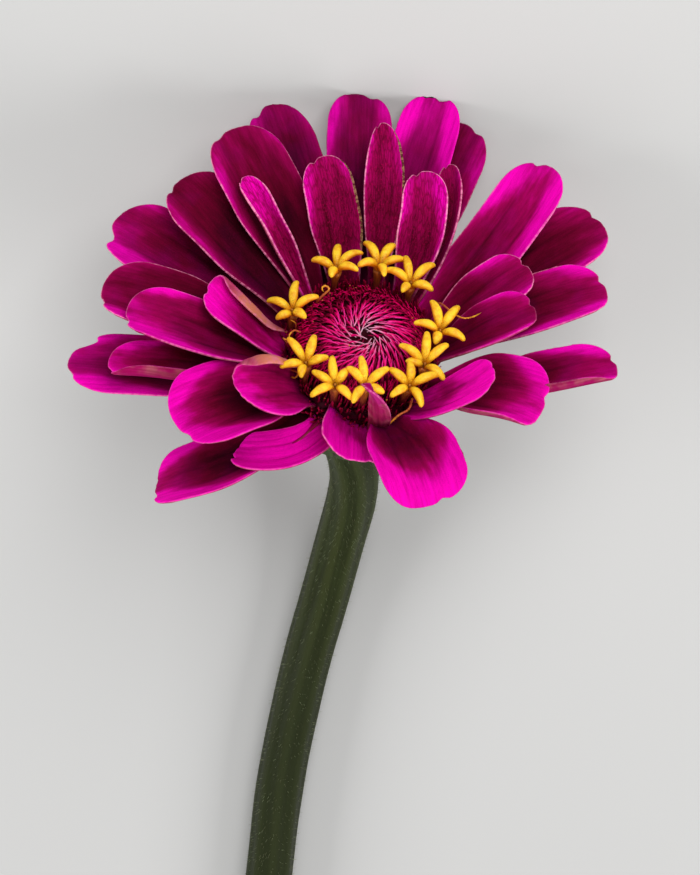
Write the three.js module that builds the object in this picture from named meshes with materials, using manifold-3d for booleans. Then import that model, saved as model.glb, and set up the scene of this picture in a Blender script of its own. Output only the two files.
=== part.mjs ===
// A cut zinnia flower lying on a flat surface, in millimetres, +Z up.
// The head faces -Y and upwards, propped on the tips of its back petals, and the stem trails to +Y.
import * as THREE from 'three';
import { mergeVertices } from 'three/addons/utils/BufferGeometryUtils.js';
import Module from 'manifold-3d';

const wasm = await Module();
wasm.setup();

// Driving dimensions
const HEAD_ELEVATION = 28;      // degrees, how far the flower's face looks up from the horizontal
const GAP = 0.3;                // between pieces that touch on the real flower
const BLADE = 0.7;              // thickness of a petal or a bract
const HUB_RADIUS = 10;          // where the ray petals are rooted
const HUB_HALF_HEIGHT = 2.6;
const HUB_CHAMFER = 0.6;
const ROOT = 1.4;               // how far a petal's root is sunk into the hub
const LONG_PETAL = 20;          // longer petals are split into one more row
const WIDE_PETAL = 9.2;         // and wider ones into two more columns
const WIDEST = 0.62;            // share of its length where a petal is at its widest
const LATE = 0.55;              // share of its length from where its end bends
const END_SHAPE = 2.4;          // power of the curve that rounds its end
const COLLAR_INNER = 9;         // crowded feet of the disc florets
const COLLAR_OUTER = 9.9;
const COLLAR_TOP = 4.6;
const COLLAR_FLARE = 0.4;
const DISC_RADIUS = 8.6;        // the pink dome of chaff
const DISC_TOP = 8.4;
const DISC_DROP = 1.5;          // how much lower the dome's rim is
const DIMPLE = 0.5;             // depth of the dent in its middle
const DIMPLE_RADIUS = 1.6;
const DISC_SKIN = 0.5;          // the column's top lies this far under the tips of the scales
const DISC_RINGS = [8.6, 7.2, 5.4, 3.6, 1.8];
const CHAFF_COUNT = 70;
const CHAFF_LENGTH = 1.6;
const CHAFF_RADIUS = 0.42;
const CHAFF_FLATNESS = 0.7;
const CHAFF_DEPTH = 1.5;
const CHAFF_SINK = 0.7;
const CHAFF_LEAN = -48;         // degrees towards the middle
const CHAFF_SWIRL = 25;         // degrees sideways, with the spiral
const CHAFF_FIRST = 0.9;        // radius of the innermost scales
const CHAFF_RIM = 0.8;          // bare rim outside the outermost ones
const GOLDEN_ANGLE = 137.508;   // degrees
const FLORET_TUBE = 0.62;       // radius of a disc floret's tube
const LOBES = 5;
const LOBE_START = 0.34;        // where a lobe leaves the throat, out from its axis and below it
const LOBE_SINK = 0.35;
const LOBE_RISE = 74;           // degrees, a lobe's slope at its root
const LOBE_DROOP = -20;         // and at its end
const LOBE_WIDTH = 1.7;
const LOBE_THICKNESS = 1.1;
const BELL_BOTTOM = -14;        // underside of the involucre, along the head's axis
const BRACT_NARROWING = 0.75;   // share of its squared width that a bract loses at its tip
const BRACT_CURL = 0.5;         // how far its tip curls in
const BRACT_EDGE = 0.25;        // how much closer its edges lie than its keel
const TURNED_SIDES = 24;        // of the bell and the collar
const HUB_SIDES = 32;
const DISC_SIDES = 28;
const STEM_TOP_RADIUS = 3.8;
const STEM_END_RADIUS = 3.75;
const STEM_SIDES = 12;
const STEM_STEPS = 24;
const REST_LEVEL = -26;         // the surface, below the hub's centre: petal tips and stem are flat there

// Petal rows: where a blade leaves the hub, as radius and height
const OUTER = { ring: 9.9, height: -1.6 };
const MIDDLE = { ring: 9.6, height: -0.2 };
const INNER = { ring: 9.3, height: 1.2 };

// Every ray petal: azimuth round the head, length, width, then angles in degrees.
// rise is the blade's slope at its root, bend and tip what it loses on the way and near its end,
// cup and lip the half angles that its cross-section is rolled to at the root and at the end.
// Some also sweep sideways, have a broad claw, turn one edge up (roll), or narrow (taper) or round
// off (blunt) towards the end in their own way.
const PETALS = [
  {
    az: 99, long: 32.2, wide: 9.8, rise: 40, bend: -14, tip: -20,
    cup: 50, lip: 25, blunt: 0.15, row: OUTER,
  },
  {
    az: 81.8, long: 33.6, wide: 9.4, rise: 40, bend: -14, tip: -20,
    cup: 50, lip: 25, blunt: 0.16, row: OUTER,
  },
  { az: 74, long: 31.1, wide: 10, rise: 36, bend: -14, tip: -10, cup: 50, lip: 20, row: OUTER },
  { az: 119, long: 32, wide: 10, rise: 38, bend: -14, tip: -20, cup: 50, lip: 20, row: OUTER },
  { az: 131, long: 29.8, wide: 12, rise: 38, bend: -14, tip: -10, cup: 60, lip: 25, row: MIDDLE },
  { az: 148, long: 27.5, wide: 12, rise: 34, bend: -14, tip: -10, cup: 60, lip: 30, row: MIDDLE },
  { az: 162, long: 30.7, wide: 13, rise: 26, bend: -14, tip: -14, cup: 60, lip: 35, row: OUTER },
  { az: 182.5, long: 28.8, wide: 12, rise: 30, bend: -14, tip: -14, cup: 60, lip: 45, row: MIDDLE },
  { az: 191, long: 26.6, wide: 9.5, rise: 36, bend: -14, tip: -14, cup: 65, lip: 45, row: INNER },
  {
    az: 173, long: 16.4, wide: 6.8, rise: 44, bend: -14, tip: 0,
    cup: 60, lip: 50, claw: 0.45, row: INNER,
  },
  { az: 192.3, long: 30.8, wide: 10.2, rise: 13, bend: -14, tip: -5, cup: 25, lip: 10, row: OUTER },
  { az: 197, long: 27.4, wide: 6.2, rise: 28, bend: -20, tip: -10, cup: 60, lip: 40, row: MIDDLE },
  { az: 221.5, long: 22.2, wide: 14, rise: 36, bend: -24, tip: -25, cup: 60, lip: 40, row: MIDDLE },
  {
    az: 225, long: 15.6, wide: 8, rise: 43, bend: -26, tip: 0,
    cup: 70, lip: 50, claw: 0.5, taper: 0.5, row: INNER,
  },
  {
    az: 236, long: 25, wide: 9.8, rise: -1, bend: -30, tip: -12,
    cup: 60, lip: 40, sweep: -54, row: OUTER,
  },
  {
    az: 254.5, long: 15.8, wide: 6.8, rise: 14, bend: -30, tip: -10,
    cup: 48, lip: 40, sweep: -92, claw: 0.65, row: OUTER,
  },
  {
    az: 279, long: 9.4, wide: 11, rise: 32, bend: -10, tip: -20,
    cup: 45, lip: 15, claw: 0.85, roll: -18, row: MIDDLE,
  },
  { az: 297.2, long: 20.9, wide: 13, rise: 46, bend: -42, tip: -48, cup: 60, lip: 30, row: MIDDLE },
  {
    az: 292.2, long: 22.2, wide: 4.4, rise: 61.2, bend: 26, tip: -40,
    cup: 30, lip: 30, sweep: -84.6, claw: 0.7, taper: 0.75, row: OUTER,
  },
  {
    az: 319, long: 22.4, wide: 4.8, rise: 54, bend: 8, tip: 0,
    cup: 35, lip: 25, sweep: 42, claw: 0.8, roll: 15, row: MIDDLE,
  },
  { az: 342, long: 20.3, wide: 13, rise: 42, bend: -24, tip: -20, cup: 60, lip: 40, row: MIDDLE },
  { az: 358.8, long: 28.3, wide: 7.6, rise: 36, bend: -16, tip: -20, cup: 60, lip: 40, row: OUTER },
  { az: 20, long: 27.7, wide: 10.4, rise: 33, bend: -16, tip: -10, cup: 60, lip: 40, row: MIDDLE },
  { az: 37, long: 31.6, wide: 11.5, rise: 33, bend: -14, tip: -14, cup: 55, lip: 30, row: OUTER },
  {
    az: 43.6, long: 31.5, wide: 8.4, rise: 37, bend: -16, tip: -10,
    cup: 55, lip: 30, sweep: 17, row: MIDDLE,
  },
  { az: 28, long: 19.2, wide: 9, rise: 43, bend: -14, tip: -10, cup: 60, lip: 50, sweep: 6, row: INNER },
  { az: 9, long: 18.8, wide: 8.5, rise: 49, bend: -14, tip: -10, cup: 60, lip: 50, sweep: 8, row: INNER },
  { az: 112, long: 21.6, wide: 8, rise: 48, bend: -14, tip: 0, cup: 50, lip: 40, row: INNER },
  {
    az: 92.5, long: 26.8, wide: 6.2, rise: 50, bend: -16, tip: 0,
    cup: 50, lip: 40, taper: 0.35, row: INNER,
  },
  { az: 74, long: 20.9, wide: 8, rise: 49, bend: -14, tip: 0, cup: 55, lip: 50, row: INNER },
  { az: 70, long: 23.3, wide: 4.5, rise: 47, bend: -14, tip: 0, cup: 80, lip: 70, row: INNER },
  { az: 136.5, long: 22.4, wide: 5, rise: 43, bend: -14, tip: 0, cup: 90, lip: 80, row: INNER },
];

// What a petal's claw, taper and rounded end are where its own row doesn't say
const USUAL = { claw: 0.32, taper: 0.1, blunt: 0.2 };

// The ten open disc florets: azimuth, distance and height of the throat, outward lean of the face,
// turn about its own axis, spread of the lobes, and how far each lobe stands off its even place
const FLORETS = [
  { az: 114, ring: 10, height: 9.4, lean: 19, turn: 67, reach: 3.7, stray: [-1, -8, 5, 6, -4] },
  { az: 85, ring: 10.5, height: 9.5, lean: 6, turn: 50, reach: 3.8, stray: [-8, 8, -3, 30, 5] },
  { az: 57, ring: 10.3, height: 9.4, lean: 10, turn: 50, reach: 3.8, stray: [4, -1, -2, 5, 22] },
  { az: 8, ring: 10.5, height: 9.4, lean: 7, turn: 42, reach: 3.8, stray: [16, 1, 0, -7, 2] },
  { az: 334, ring: 10.1, height: 9.5, lean: 4, turn: 55, reach: 3.8, stray: [25, -2, -3, -38, -2] },
  { az: 310, ring: 11.1, height: 8.8, lean: 10, turn: 70, reach: 3.7, stray: [20, 8, -10, -8, -4] },
  { az: 279, ring: 9.8, height: 9.6, lean: 14, turn: 48, reach: 3.5, stray: [18, 7, 0, -30, -3] },
  { az: 255, ring: 10.5, height: 9.2, lean: 20, turn: 60, reach: 3.6, stray: [10, 26, 0, -10, -20] },
  { az: 226, ring: 10, height: 9.5, lean: 17, turn: 54, reach: 3.6, stray: [-12, 6, 11, 7, 0] },
  { az: 176, ring: 9.4, height: 9.6, lean: 12, turn: 64, reach: 3.7, stray: [-8, 0, 9, 0, 2] },
];

// Rows of green bracts from the hub down to the stem: count, foot radius, foot height, length, width, splay
const BRACT_ROWS = [
  { count: 12, radius: 9.5, foot: -7.6, long: 4.8, wide: 5.2, splay: 12 },
  { count: 11, radius: 8.5, foot: -10.4, long: 5, wide: 5, splay: 18 },
  { count: 8, radius: 6.6, foot: -13, long: 5.2, wide: 5.2, splay: 30 },
];

// Stem centre line from the head's underside to the cut end, as offsets from the hub's centre
const STEM_ROUTE = [
  [0, 12.8, -6.8], [0, 14.6, -7.8], [-1.7, 21, -11.2], [-2.2, 29, -15.2], [-1.5, 39, -19.2],
  [-0.6, 50, -21.7], [0.4, 60, -22.5], [1.3, 72, -22.6], [1.8, 86, -22.6], [1.5, 100, -22.6],
  [0.9, 116, -22.6],
];

const { cos, sin, sqrt, abs, PI } = Math;
const rad = THREE.MathUtils.degToRad;
const lerp = THREE.MathUtils.lerp;
const clamp = THREE.MathUtils.clamp;
const smooth = THREE.MathUtils.smoothstep;

// Closed geometry to solid and back
function solidOf(geometry) {
  const bare = geometry.clone();
  bare.deleteAttribute('normal');
  bare.deleteAttribute('uv');
  const merged = mergeVertices(bare, 1e-4);
  return new wasm.Manifold(new wasm.Mesh({
    numProp: 3,
    vertProperties: new Float32Array(merged.attributes.position.array),
    triVerts: new Uint32Array(merged.index.array),
  }));
}

function geometryOf(solid) {
  const mesh = solid.getMesh();
  const geometry = new THREE.BufferGeometry();
  geometry.setAttribute('position', new THREE.BufferAttribute(new Float32Array(mesh.vertProperties), 3));
  geometry.setIndex(new THREE.BufferAttribute(new Uint32Array(mesh.triVerts), 1));
  return geometry;
}

function join(solids) {
  return solids.reduce((all, solid) => all.add(solid));
}

// The outer skin of a joined solid: hollows that joining sealed are filled and loose scraps dropped
function outerSkin(geometry) {
  const index = geometry.index.array;
  const position = geometry.attributes.position;
  const parent = Array.from({ length: position.count }, (_, i) => i);
  const rootOf = (i) => {
    while (parent[i] !== i) {
      parent[i] = parent[parent[i]];
      i = parent[i];
    }
    return i;
  };
  for (let i = 0; i < index.length; i += 3) {
    parent[rootOf(index[i + 1])] = rootOf(index[i]);
    parent[rootOf(index[i + 2])] = rootOf(index[i]);
  }
  const volumes = new Map();
  const corner = (i) => new THREE.Vector3().fromBufferAttribute(position, index[i]);
  for (let i = 0; i < index.length; i += 3) {
    const root = rootOf(index[i]);
    const share = corner(i).dot(corner(i + 1).cross(corner(i + 2))) / 6;
    volumes.set(root, (volumes.get(root) ?? 0) + share);
  }
  const [outer] = [...volumes.entries()].sort((a, b) => b[1] - a[1])[0];
  const kept = [];
  for (let i = 0; i < index.length; i += 3) {
    if (rootOf(index[i]) === outer) kept.push(index[i], index[i + 1], index[i + 2]);
  }
  geometry.setIndex(kept);
  return geometry;
}

// A closed slab over a grid of points, thickened half to each side along the grid's own normals.
// Both faces are split along the same diagonals, so a waved slab never crosses itself.
function slab(grid, thickness) {
  const rows = grid.length;
  const columns = grid[0].length;
  const positions = [];
  const along = new THREE.Vector3();
  const across = new THREE.Vector3();
  const normal = new THREE.Vector3();
  for (const side of [0.5, -0.5]) {
    for (let i = 0; i < rows; i += 1) {
      for (let j = 0; j < columns; j += 1) {
        along.subVectors(grid[Math.min(i + 1, rows - 1)][j], grid[Math.max(i - 1, 0)][j]);
        across.subVectors(grid[i][Math.min(j + 1, columns - 1)], grid[i][Math.max(j - 1, 0)]);
        normal.crossVectors(along, across).normalize();
        positions.push(...grid[i][j].clone().addScaledVector(normal, side * thickness).toArray());
      }
    }
  }
  const top = (i, j) => i * columns + j;
  const under = (i, j) => rows * columns + top(i, j);
  const index = [];
  const quad = (a, b, c, d) => index.push(a, b, c, a, c, d);
  for (let i = 0; i < rows - 1; i += 1) {
    for (let j = 0; j < columns - 1; j += 1) {
      quad(top(i, j), top(i + 1, j), top(i + 1, j + 1), top(i, j + 1));
      index.push(under(i, j), under(i + 1, j + 1), under(i + 1, j));
      index.push(under(i, j), under(i, j + 1), under(i + 1, j + 1));
    }
    quad(top(i, 0), under(i, 0), under(i + 1, 0), top(i + 1, 0));
    quad(top(i, columns - 1), top(i + 1, columns - 1), under(i + 1, columns - 1), under(i, columns - 1));
  }
  for (let j = 0; j < columns - 1; j += 1) {
    quad(top(0, j), top(0, j + 1), under(0, j + 1), under(0, j));
    quad(top(rows - 1, j), under(rows - 1, j), under(rows - 1, j + 1), top(rows - 1, j + 1));
  }
  const geometry = new THREE.BufferGeometry();
  geometry.setAttribute('position', new THREE.Float32BufferAttribute(positions, 3));
  geometry.setIndex(index);
  return geometry;
}

// A ray petal's half width along its length: a narrow claw that opens to full width past the middle
function petalHalf(petal, t) {
  const past = clamp((t - WIDEST) / (1 - WIDEST), 0, 1);
  const claw = petal.claw ?? USUAL.claw;
  const opened = claw + (1 - claw) * smooth(t, 0, WIDEST);
  return (petal.wide / 2) * opened * (1 - (petal.taper ?? USUAL.taper) * past * past);
}

// The petal's middle line, walked out from the hub in even steps
function petalSpine(petal, steps) {
  const spine = [];
  const azimuth = rad(petal.az);
  const roll = rad(petal.roll ?? 0);
  const { ring, height } = petal.row;
  const point = new THREE.Vector3(cos(azimuth) * ring, sin(azimuth) * ring, height);
  for (let i = 0; i <= steps; i += 1) {
    const t = i / steps;
    const late = clamp((t - LATE) / (1 - LATE), 0, 1);
    const slope = rad(petal.rise + petal.bend * t + petal.tip * late * late);
    const heading = rad(petal.az + (petal.sweep ?? 0) * t);
    const ahead = new THREE.Vector3(cos(slope) * cos(heading), cos(slope) * sin(heading), sin(slope));
    const side = new THREE.Vector3(-sin(heading), cos(heading), 0).applyAxisAngle(ahead, roll);
    const up = new THREE.Vector3().crossVectors(ahead, side);
    if (i > 0) {
      const step = spine[i - 1].ahead.clone().add(ahead).multiplyScalar(petal.long / steps / 2);
      point.add(step);
    }
    spine.push({ point: point.clone(), ahead, side, up });
  }
  return spine;
}

function petalGrid(petal, rows, columns) {
  const fine = 40;
  const spine = petalSpine(petal, fine);
  const blunt = petal.blunt ?? USUAL.blunt;
  const grid = [];
  for (let i = 0; i <= rows; i += 1) {
    const line = [];
    for (let j = 0; j < columns; j += 1) {
      const s = (2 * j) / (columns - 1) - 1;
      // the end is rounded: lines near the sides stop short of it
      const reach = 1 - blunt * (1 - sqrt(clamp(1 - abs(s) ** END_SHAPE, 0, 1)));
      const t = (i / rows) * reach;
      const low = spine[Math.floor(t * fine)];
      const high = spine[Math.min(Math.floor(t * fine) + 1, fine)];
      const mix = t * fine - Math.floor(t * fine);
      const half = petalHalf(petal, t);
      const curl = rad(lerp(petal.cup, petal.lip, t));
      const point = low.point.clone().lerp(high.point, mix);
      point.addScaledVector(low.side.clone().lerp(high.side, mix), (sin(s * curl) / curl) * half);
      point.addScaledVector(low.up.clone().lerp(high.up, mix), ((1 - cos(s * curl)) / curl) * half);
      line.push(point);
    }
    grid.push(line);
  }
  // one more row behind the first sinks the root into the hub
  const rooted = grid[0].map((point, j) => {
    const back = point.clone().sub(grid[1][j]).normalize().multiplyScalar(ROOT);
    return point.clone().add(back);
  });
  return [rooted, ...grid];
}

function petalSolid(petal) {
  const rows = petal.long > LONG_PETAL ? 6 : 5;
  const columns = petal.wide > WIDE_PETAL ? 7 : 5;
  return solidOf(slab(petalGrid(petal, rows, columns), BLADE));
}

// The hub that carries the petals' roots
function hubSolid() {
  const profile = [
    [0, -HUB_HALF_HEIGHT],
    [HUB_RADIUS - HUB_CHAMFER, -HUB_HALF_HEIGHT], [HUB_RADIUS, -HUB_HALF_HEIGHT + HUB_CHAMFER],
    [HUB_RADIUS, HUB_HALF_HEIGHT], [0, HUB_HALF_HEIGHT],
  ].map(([x, y]) => new THREE.Vector2(x, y));
  return solidOf(new THREE.LatheGeometry(profile, HUB_SIDES).rotateX(PI / 2));
}

// The dome of chaff: a column with a dimpled top, set with leaning scales on a golden-angle spiral
function domeHeight(radius) {
  const share = radius / DISC_RADIUS;
  return DISC_TOP - DISC_DROP * share ** 4 - DIMPLE * Math.exp(-((radius / DIMPLE_RADIUS) ** 2));
}

function discSolid() {
  const foot = HUB_HALF_HEIGHT + GAP;
  const profile = [new THREE.Vector2(0, foot), new THREE.Vector2(DISC_RADIUS - 0.2, foot)];
  for (const radius of [...DISC_RINGS, 0]) {
    profile.push(new THREE.Vector2(radius, domeHeight(radius) - DISC_SKIN));
  }
  const column = solidOf(new THREE.LatheGeometry(profile, DISC_SIDES).rotateX(PI / 2));
  const scales = [];
  for (let i = 0; i < CHAFF_COUNT; i += 1) {
    const span = DISC_RADIUS - CHAFF_RIM - CHAFF_FIRST;
    const radius = CHAFF_FIRST + span * sqrt((i + 0.5) / CHAFF_COUNT);
    scales.push(chaffSolid(radius, i * GOLDEN_ANGLE));
  }
  return join([column, ...scales]);
}

// One scale of chaff: a low sickle that leans towards the middle and sideways with the spiral
function chaffSolid(radius, azimuthDegrees) {
  const scale = new THREE.ConeGeometry(CHAFF_RADIUS, CHAFF_LENGTH, 4, 1);
  scale.scale(CHAFF_FLATNESS, 1, CHAFF_DEPTH);
  scale.translate(0, CHAFF_LENGTH / 2 - DISC_SKIN, 0);
  scale.rotateX(PI / 2);
  scale.rotateY(rad(CHAFF_LEAN));
  scale.rotateZ(rad(CHAFF_SWIRL));
  scale.translate(radius, 0, domeHeight(radius) - CHAFF_SINK);
  scale.rotateZ(rad(azimuthDegrees));
  return solidOf(scale);
}

// One star-shaped disc floret: a narrow tube and five plump lobes that arch out and down
function floretSolid(floret) {
  const sides = 6;
  const foot = new THREE.Vector3((COLLAR_INNER + COLLAR_OUTER) / 2, 0, COLLAR_TOP - 1);
  const throat = new THREE.Vector3(floret.ring, 0, floret.height);
  const ring = [];
  for (let k = 0; k < sides; k += 1) {
    const angle = (2 * PI * k) / sides;
    ring.push(new THREE.Vector2(cos(angle) * FLORET_TUBE, sin(angle) * FLORET_TUBE));
  }
  const options = { steps: 1, bevelEnabled: false, extrudePath: new THREE.LineCurve3(foot, throat) };
  const tube = new THREE.ExtrudeGeometry(new THREE.Shape(ring), options);
  const lobes = [];
  for (let k = 0; k < LOBES; k += 1) {
    const lobe = lobeGeometry(floret.reach);
    lobe.rotateZ(rad(floret.turn + (360 / LOBES) * k + floret.stray[k]));
    lobe.rotateY(rad(floret.lean));
    lobe.translate(throat.x, throat.y, throat.z);
    lobes.push(solidOf(lobe.rotateZ(rad(floret.az))));
  }
  return join([solidOf(tube.rotateZ(rad(floret.az))), ...lobes]);
}

// A lobe: a plump four-sided tongue that rises from the throat, arches over and droops at its end
function lobeGeometry(reach) {
  const steps = 3;
  const rise = rad(LOBE_RISE);
  const droop = rad(LOBE_DROOP);
  const length = ((reach - LOBE_START) * (rise - droop)) / (sin(rise) - sin(droop));
  const rings = [];
  const point = new THREE.Vector2(LOBE_START, -LOBE_SINK);
  for (let i = 0; i <= steps; i += 1) {
    const t = i / steps;
    const slope = lerp(rise, droop, t);
    const full = 0.2 + 0.8 * sin(PI * (0.12 + 0.76 * t));
    const half = (LOBE_WIDTH / 2) * full;
    const thick = (LOBE_THICKNESS / 2) * full;
    rings.push([
      new THREE.Vector3(point.x, half, point.y),
      new THREE.Vector3(point.x - sin(slope) * thick, 0, point.y + cos(slope) * thick),
      new THREE.Vector3(point.x, -half, point.y),
      new THREE.Vector3(point.x + sin(slope) * thick, 0, point.y - cos(slope) * thick),
    ]);
    const next = lerp(rise, droop, t + 0.5 / steps);
    point.x += (cos(next) * length) / steps;
    point.y += (sin(next) * length) / steps;
  }
  const middle = (ring) => ring[0].clone().add(ring[2]).multiplyScalar(0.5);
  return closedTube(rings, middle(rings[0]), middle(rings[steps]));
}

function floretsSolid() {
  const foot = HUB_HALF_HEIGHT + GAP;
  const profile = [
    [COLLAR_INNER, foot], [COLLAR_OUTER - COLLAR_FLARE, foot], [COLLAR_OUTER, COLLAR_TOP],
    [COLLAR_INNER, COLLAR_TOP], [COLLAR_INNER, foot],
  ].map(([x, y]) => new THREE.Vector2(x, y));
  const collar = solidOf(new THREE.LatheGeometry(profile, TURNED_SIDES).rotateX(PI / 2));
  return join([collar, ...FLORETS.map(floretSolid)]);
}

// The green involucre: a bell under the hub with rows of overlapping rounded bracts
function involucreSolid() {
  const rim = -HUB_HALF_HEIGHT - GAP;
  const profile = [
    [0, BELL_BOTTOM], [4.2, BELL_BOTTOM], [6.6, -12.6], [8.4, -10], [9.3, -7], [9.5, rim], [0, rim],
  ].map(([x, y]) => new THREE.Vector2(x, y));
  const solids = [solidOf(new THREE.LatheGeometry(profile, TURNED_SIDES).rotateX(PI / 2))];
  BRACT_ROWS.forEach((row, r) => {
    for (let k = 0; k < row.count; k += 1) {
      const bract = slab(bractGrid(row), BLADE).rotateZ((2 * PI * (k + r / 2)) / row.count);
      solids.push(solidOf(bract));
    }
  });
  return join(solids);
}

function bractGrid(row) {
  const rows = 2;
  const grid = [];
  for (let i = 0; i <= rows; i += 1) {
    const t = i / rows;
    const half = (row.wide / 2) * sqrt(1 - BRACT_NARROWING * t ** 3);
    const out = row.radius + sin(rad(row.splay)) * row.long * t - BRACT_CURL * t * t;
    const high = row.foot + cos(rad(row.splay)) * row.long * t;
    grid.push([-1, 0, 1].map((s) => {
      const angle = (s * half) / out;
      const reach = out - BRACT_EDGE * abs(s);
      return new THREE.Vector3(cos(angle) * reach, sin(angle) * reach, high);
    }));
  }
  return grid;
}

// The stem: a tube along its route, cut square at the far end
function stemGeometry() {
  const route = new THREE.CatmullRomCurve3(STEM_ROUTE.map((p) => new THREE.Vector3(...p)));
  const rings = [];
  const frames = route.computeFrenetFrames(STEM_STEPS, false);
  for (let i = 0; i <= STEM_STEPS; i += 1) {
    const t = i / STEM_STEPS;
    const centre = route.getPointAt(t);
    const radius = lerp(STEM_TOP_RADIUS, STEM_END_RADIUS, t);
    const ring = [];
    for (let k = 0; k < STEM_SIDES; k += 1) {
      const angle = (2 * PI * k) / STEM_SIDES;
      const point = centre.clone();
      point.addScaledVector(frames.normals[i], cos(angle) * radius);
      point.addScaledVector(frames.binormals[i], sin(angle) * radius);
      ring.push(point);
    }
    rings.push(ring);
  }
  return closedTube(rings, route.getPointAt(0), route.getPointAt(1));
}

// Rings of points joined side by side, with a fan over each end
function closedTube(rings, start, end) {
  const sides = rings[0].length;
  const positions = rings.flat().flatMap((point) => point.toArray());
  positions.push(...start.toArray(), ...end.toArray());
  const first = rings.length * sides;
  const last = (rings.length - 1) * sides;
  const index = [];
  for (let k = 0; k < sides; k += 1) {
    const next = (k + 1) % sides;
    for (let i = 0; i < rings.length - 1; i += 1) {
      const a = i * sides;
      const b = a + sides;
      index.push(a + k, a + next, b + next, a + k, b + next, b + k);
    }
    index.push(first, next, k);
    index.push(first + 1, last + k, last + next);
  }
  const geometry = new THREE.BufferGeometry();
  geometry.setAttribute('position', new THREE.Float32BufferAttribute(positions, 3));
  geometry.setIndex(index);
  return geometry;
}

// Everything below the surface that the flower lies on, as a block to cut with
function belowSurface() {
  const depth = 20;
  const side = 400;
  return new THREE.BoxGeometry(side, side, depth).translate(0, 0, REST_LEVEL - depth / 2);
}

function finish(name, geometry, color, roughness) {
  const flat = geometry.toNonIndexed();
  flat.computeVertexNormals();
  const mesh = new THREE.Mesh(flat, new THREE.MeshStandardMaterial({ color, roughness, metalness: 0 }));
  mesh.name = name;
  return mesh;
}

// The head's own frame: x to the photo's right, z out of its face
const elevation = rad(HEAD_ELEVATION);
const headBasis = new THREE.Matrix4().makeBasis(
  new THREE.Vector3(-1, 0, 0),
  new THREE.Vector3(0, -sin(elevation), -cos(elevation)),
  new THREE.Vector3(0, -cos(elevation), sin(elevation)),
);
const head = new THREE.Group();
head.quaternion.setFromRotationMatrix(headBasis);

const cutter = belowSurface().applyMatrix4(headBasis.clone().invert());
const petals = join([hubSolid(), ...PETALS.map(petalSolid)]).subtract(solidOf(cutter));
head.add(finish('ray_petals', outerSkin(geometryOf(petals)), 0xb8006e, 0.75));
head.add(finish('chaff_disc', outerSkin(geometryOf(discSolid())), 0x8a0a3c, 0.8));
head.add(finish('disc_florets', outerSkin(geometryOf(floretsSolid())), 0xf2b21c, 0.7));
head.add(finish('involucre', outerSkin(geometryOf(involucreSolid())), 0x4f6b2c, 0.75));

const stem = solidOf(stemGeometry()).subtract(solidOf(belowSurface()));
const flower = new THREE.Group();
flower.add(head);
flower.add(finish('stem', geometryOf(stem), 0x4b5a2e, 0.7));

// The origin is under the middle of the flower's box, on the surface
const box = new THREE.Box3().setFromObject(flower, true);
const middle = box.getCenter(new THREE.Vector3());
flower.position.set(-middle.x, -middle.y, -box.min.z);

export default flower;
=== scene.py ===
"""A cut zinnia lying on a pale surface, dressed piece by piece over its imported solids.

Sizes are in millimetres in the head's own frame and become metres in the row frame.
"""

import logging
import math
from collections.abc import Sequence
from dataclasses import dataclass, field
from enum import Enum

import bpy
import numpy as np
from mathutils import Matrix, Vector

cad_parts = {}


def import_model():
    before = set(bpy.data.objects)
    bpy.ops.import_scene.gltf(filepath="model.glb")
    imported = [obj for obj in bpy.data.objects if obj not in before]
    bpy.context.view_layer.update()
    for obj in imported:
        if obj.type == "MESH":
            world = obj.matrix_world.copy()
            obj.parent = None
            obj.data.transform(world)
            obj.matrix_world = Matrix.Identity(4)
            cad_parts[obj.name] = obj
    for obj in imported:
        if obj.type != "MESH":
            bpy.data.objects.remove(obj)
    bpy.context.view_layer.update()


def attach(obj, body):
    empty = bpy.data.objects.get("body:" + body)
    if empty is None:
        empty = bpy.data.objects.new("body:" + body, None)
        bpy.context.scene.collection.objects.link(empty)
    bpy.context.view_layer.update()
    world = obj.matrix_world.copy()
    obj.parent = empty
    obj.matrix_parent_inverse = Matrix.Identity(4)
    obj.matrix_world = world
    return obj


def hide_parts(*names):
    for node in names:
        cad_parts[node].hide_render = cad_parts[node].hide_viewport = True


LOG = logging.getLogger("zinnia")
MM = 0.001
BODY = "root"
GOLDEN_ANGLE = math.radians(137.508)
Colour = tuple[float, float, float]
Point = tuple[float, float, float]
Socket = bpy.types.NodeSocket
# A direction that no swept path starts along.
OFF_PATH = (0.31, 0.17, 0.94)
# Points that a smooth curve takes between two knots, before it is spaced evenly.
PER_SPAN = 24


def smooth(value: np.ndarray, low: float, high: float) -> np.ndarray:
    """Return 0 below low, 1 above high and an S-shaped ramp between them."""
    share = np.clip((value - low) / (high - low), 0.0, 1.0)
    return share * share * (3.0 - 2.0 * share)


def mix(first: float | np.ndarray, second: float | np.ndarray, share: np.ndarray) -> np.ndarray:
    """Return the blend from first to second by share."""
    return first + (second - first) * share


def drift(x: np.ndarray, y: np.ndarray, seed: int, waves: int = 5) -> np.ndarray:
    """Sum a few slow waves with seeded directions, for hand-made unevenness.

    Args:
        x: First coordinate of each point, about one unit per wave.
        y: Second coordinate of each point.
        seed: Picks the waves.
        waves: How many waves are summed.

    Returns:
        Values of about -1 to 1, the same for the same seed.
    """
    dice = np.random.default_rng(seed)
    total = np.zeros_like(x)
    for _ in range(waves):
        along, across = dice.uniform(-2.2, 2.2, 2)
        total += np.sin(along * x + across * y + dice.uniform(0.0, 2.0 * math.pi))
    return total / math.sqrt(2.0 * waves)


def round_angles(sides: int) -> np.ndarray:
    """Return evenly spaced angles once round, in radians."""
    return np.arange(sides) * 2.0 * math.pi / sides


def each_side(values: np.ndarray, sides: int) -> np.ndarray:
    """Return values along a tube, repeated at each of its sides."""
    return np.repeat(values[:, None], sides, 1)


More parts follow.
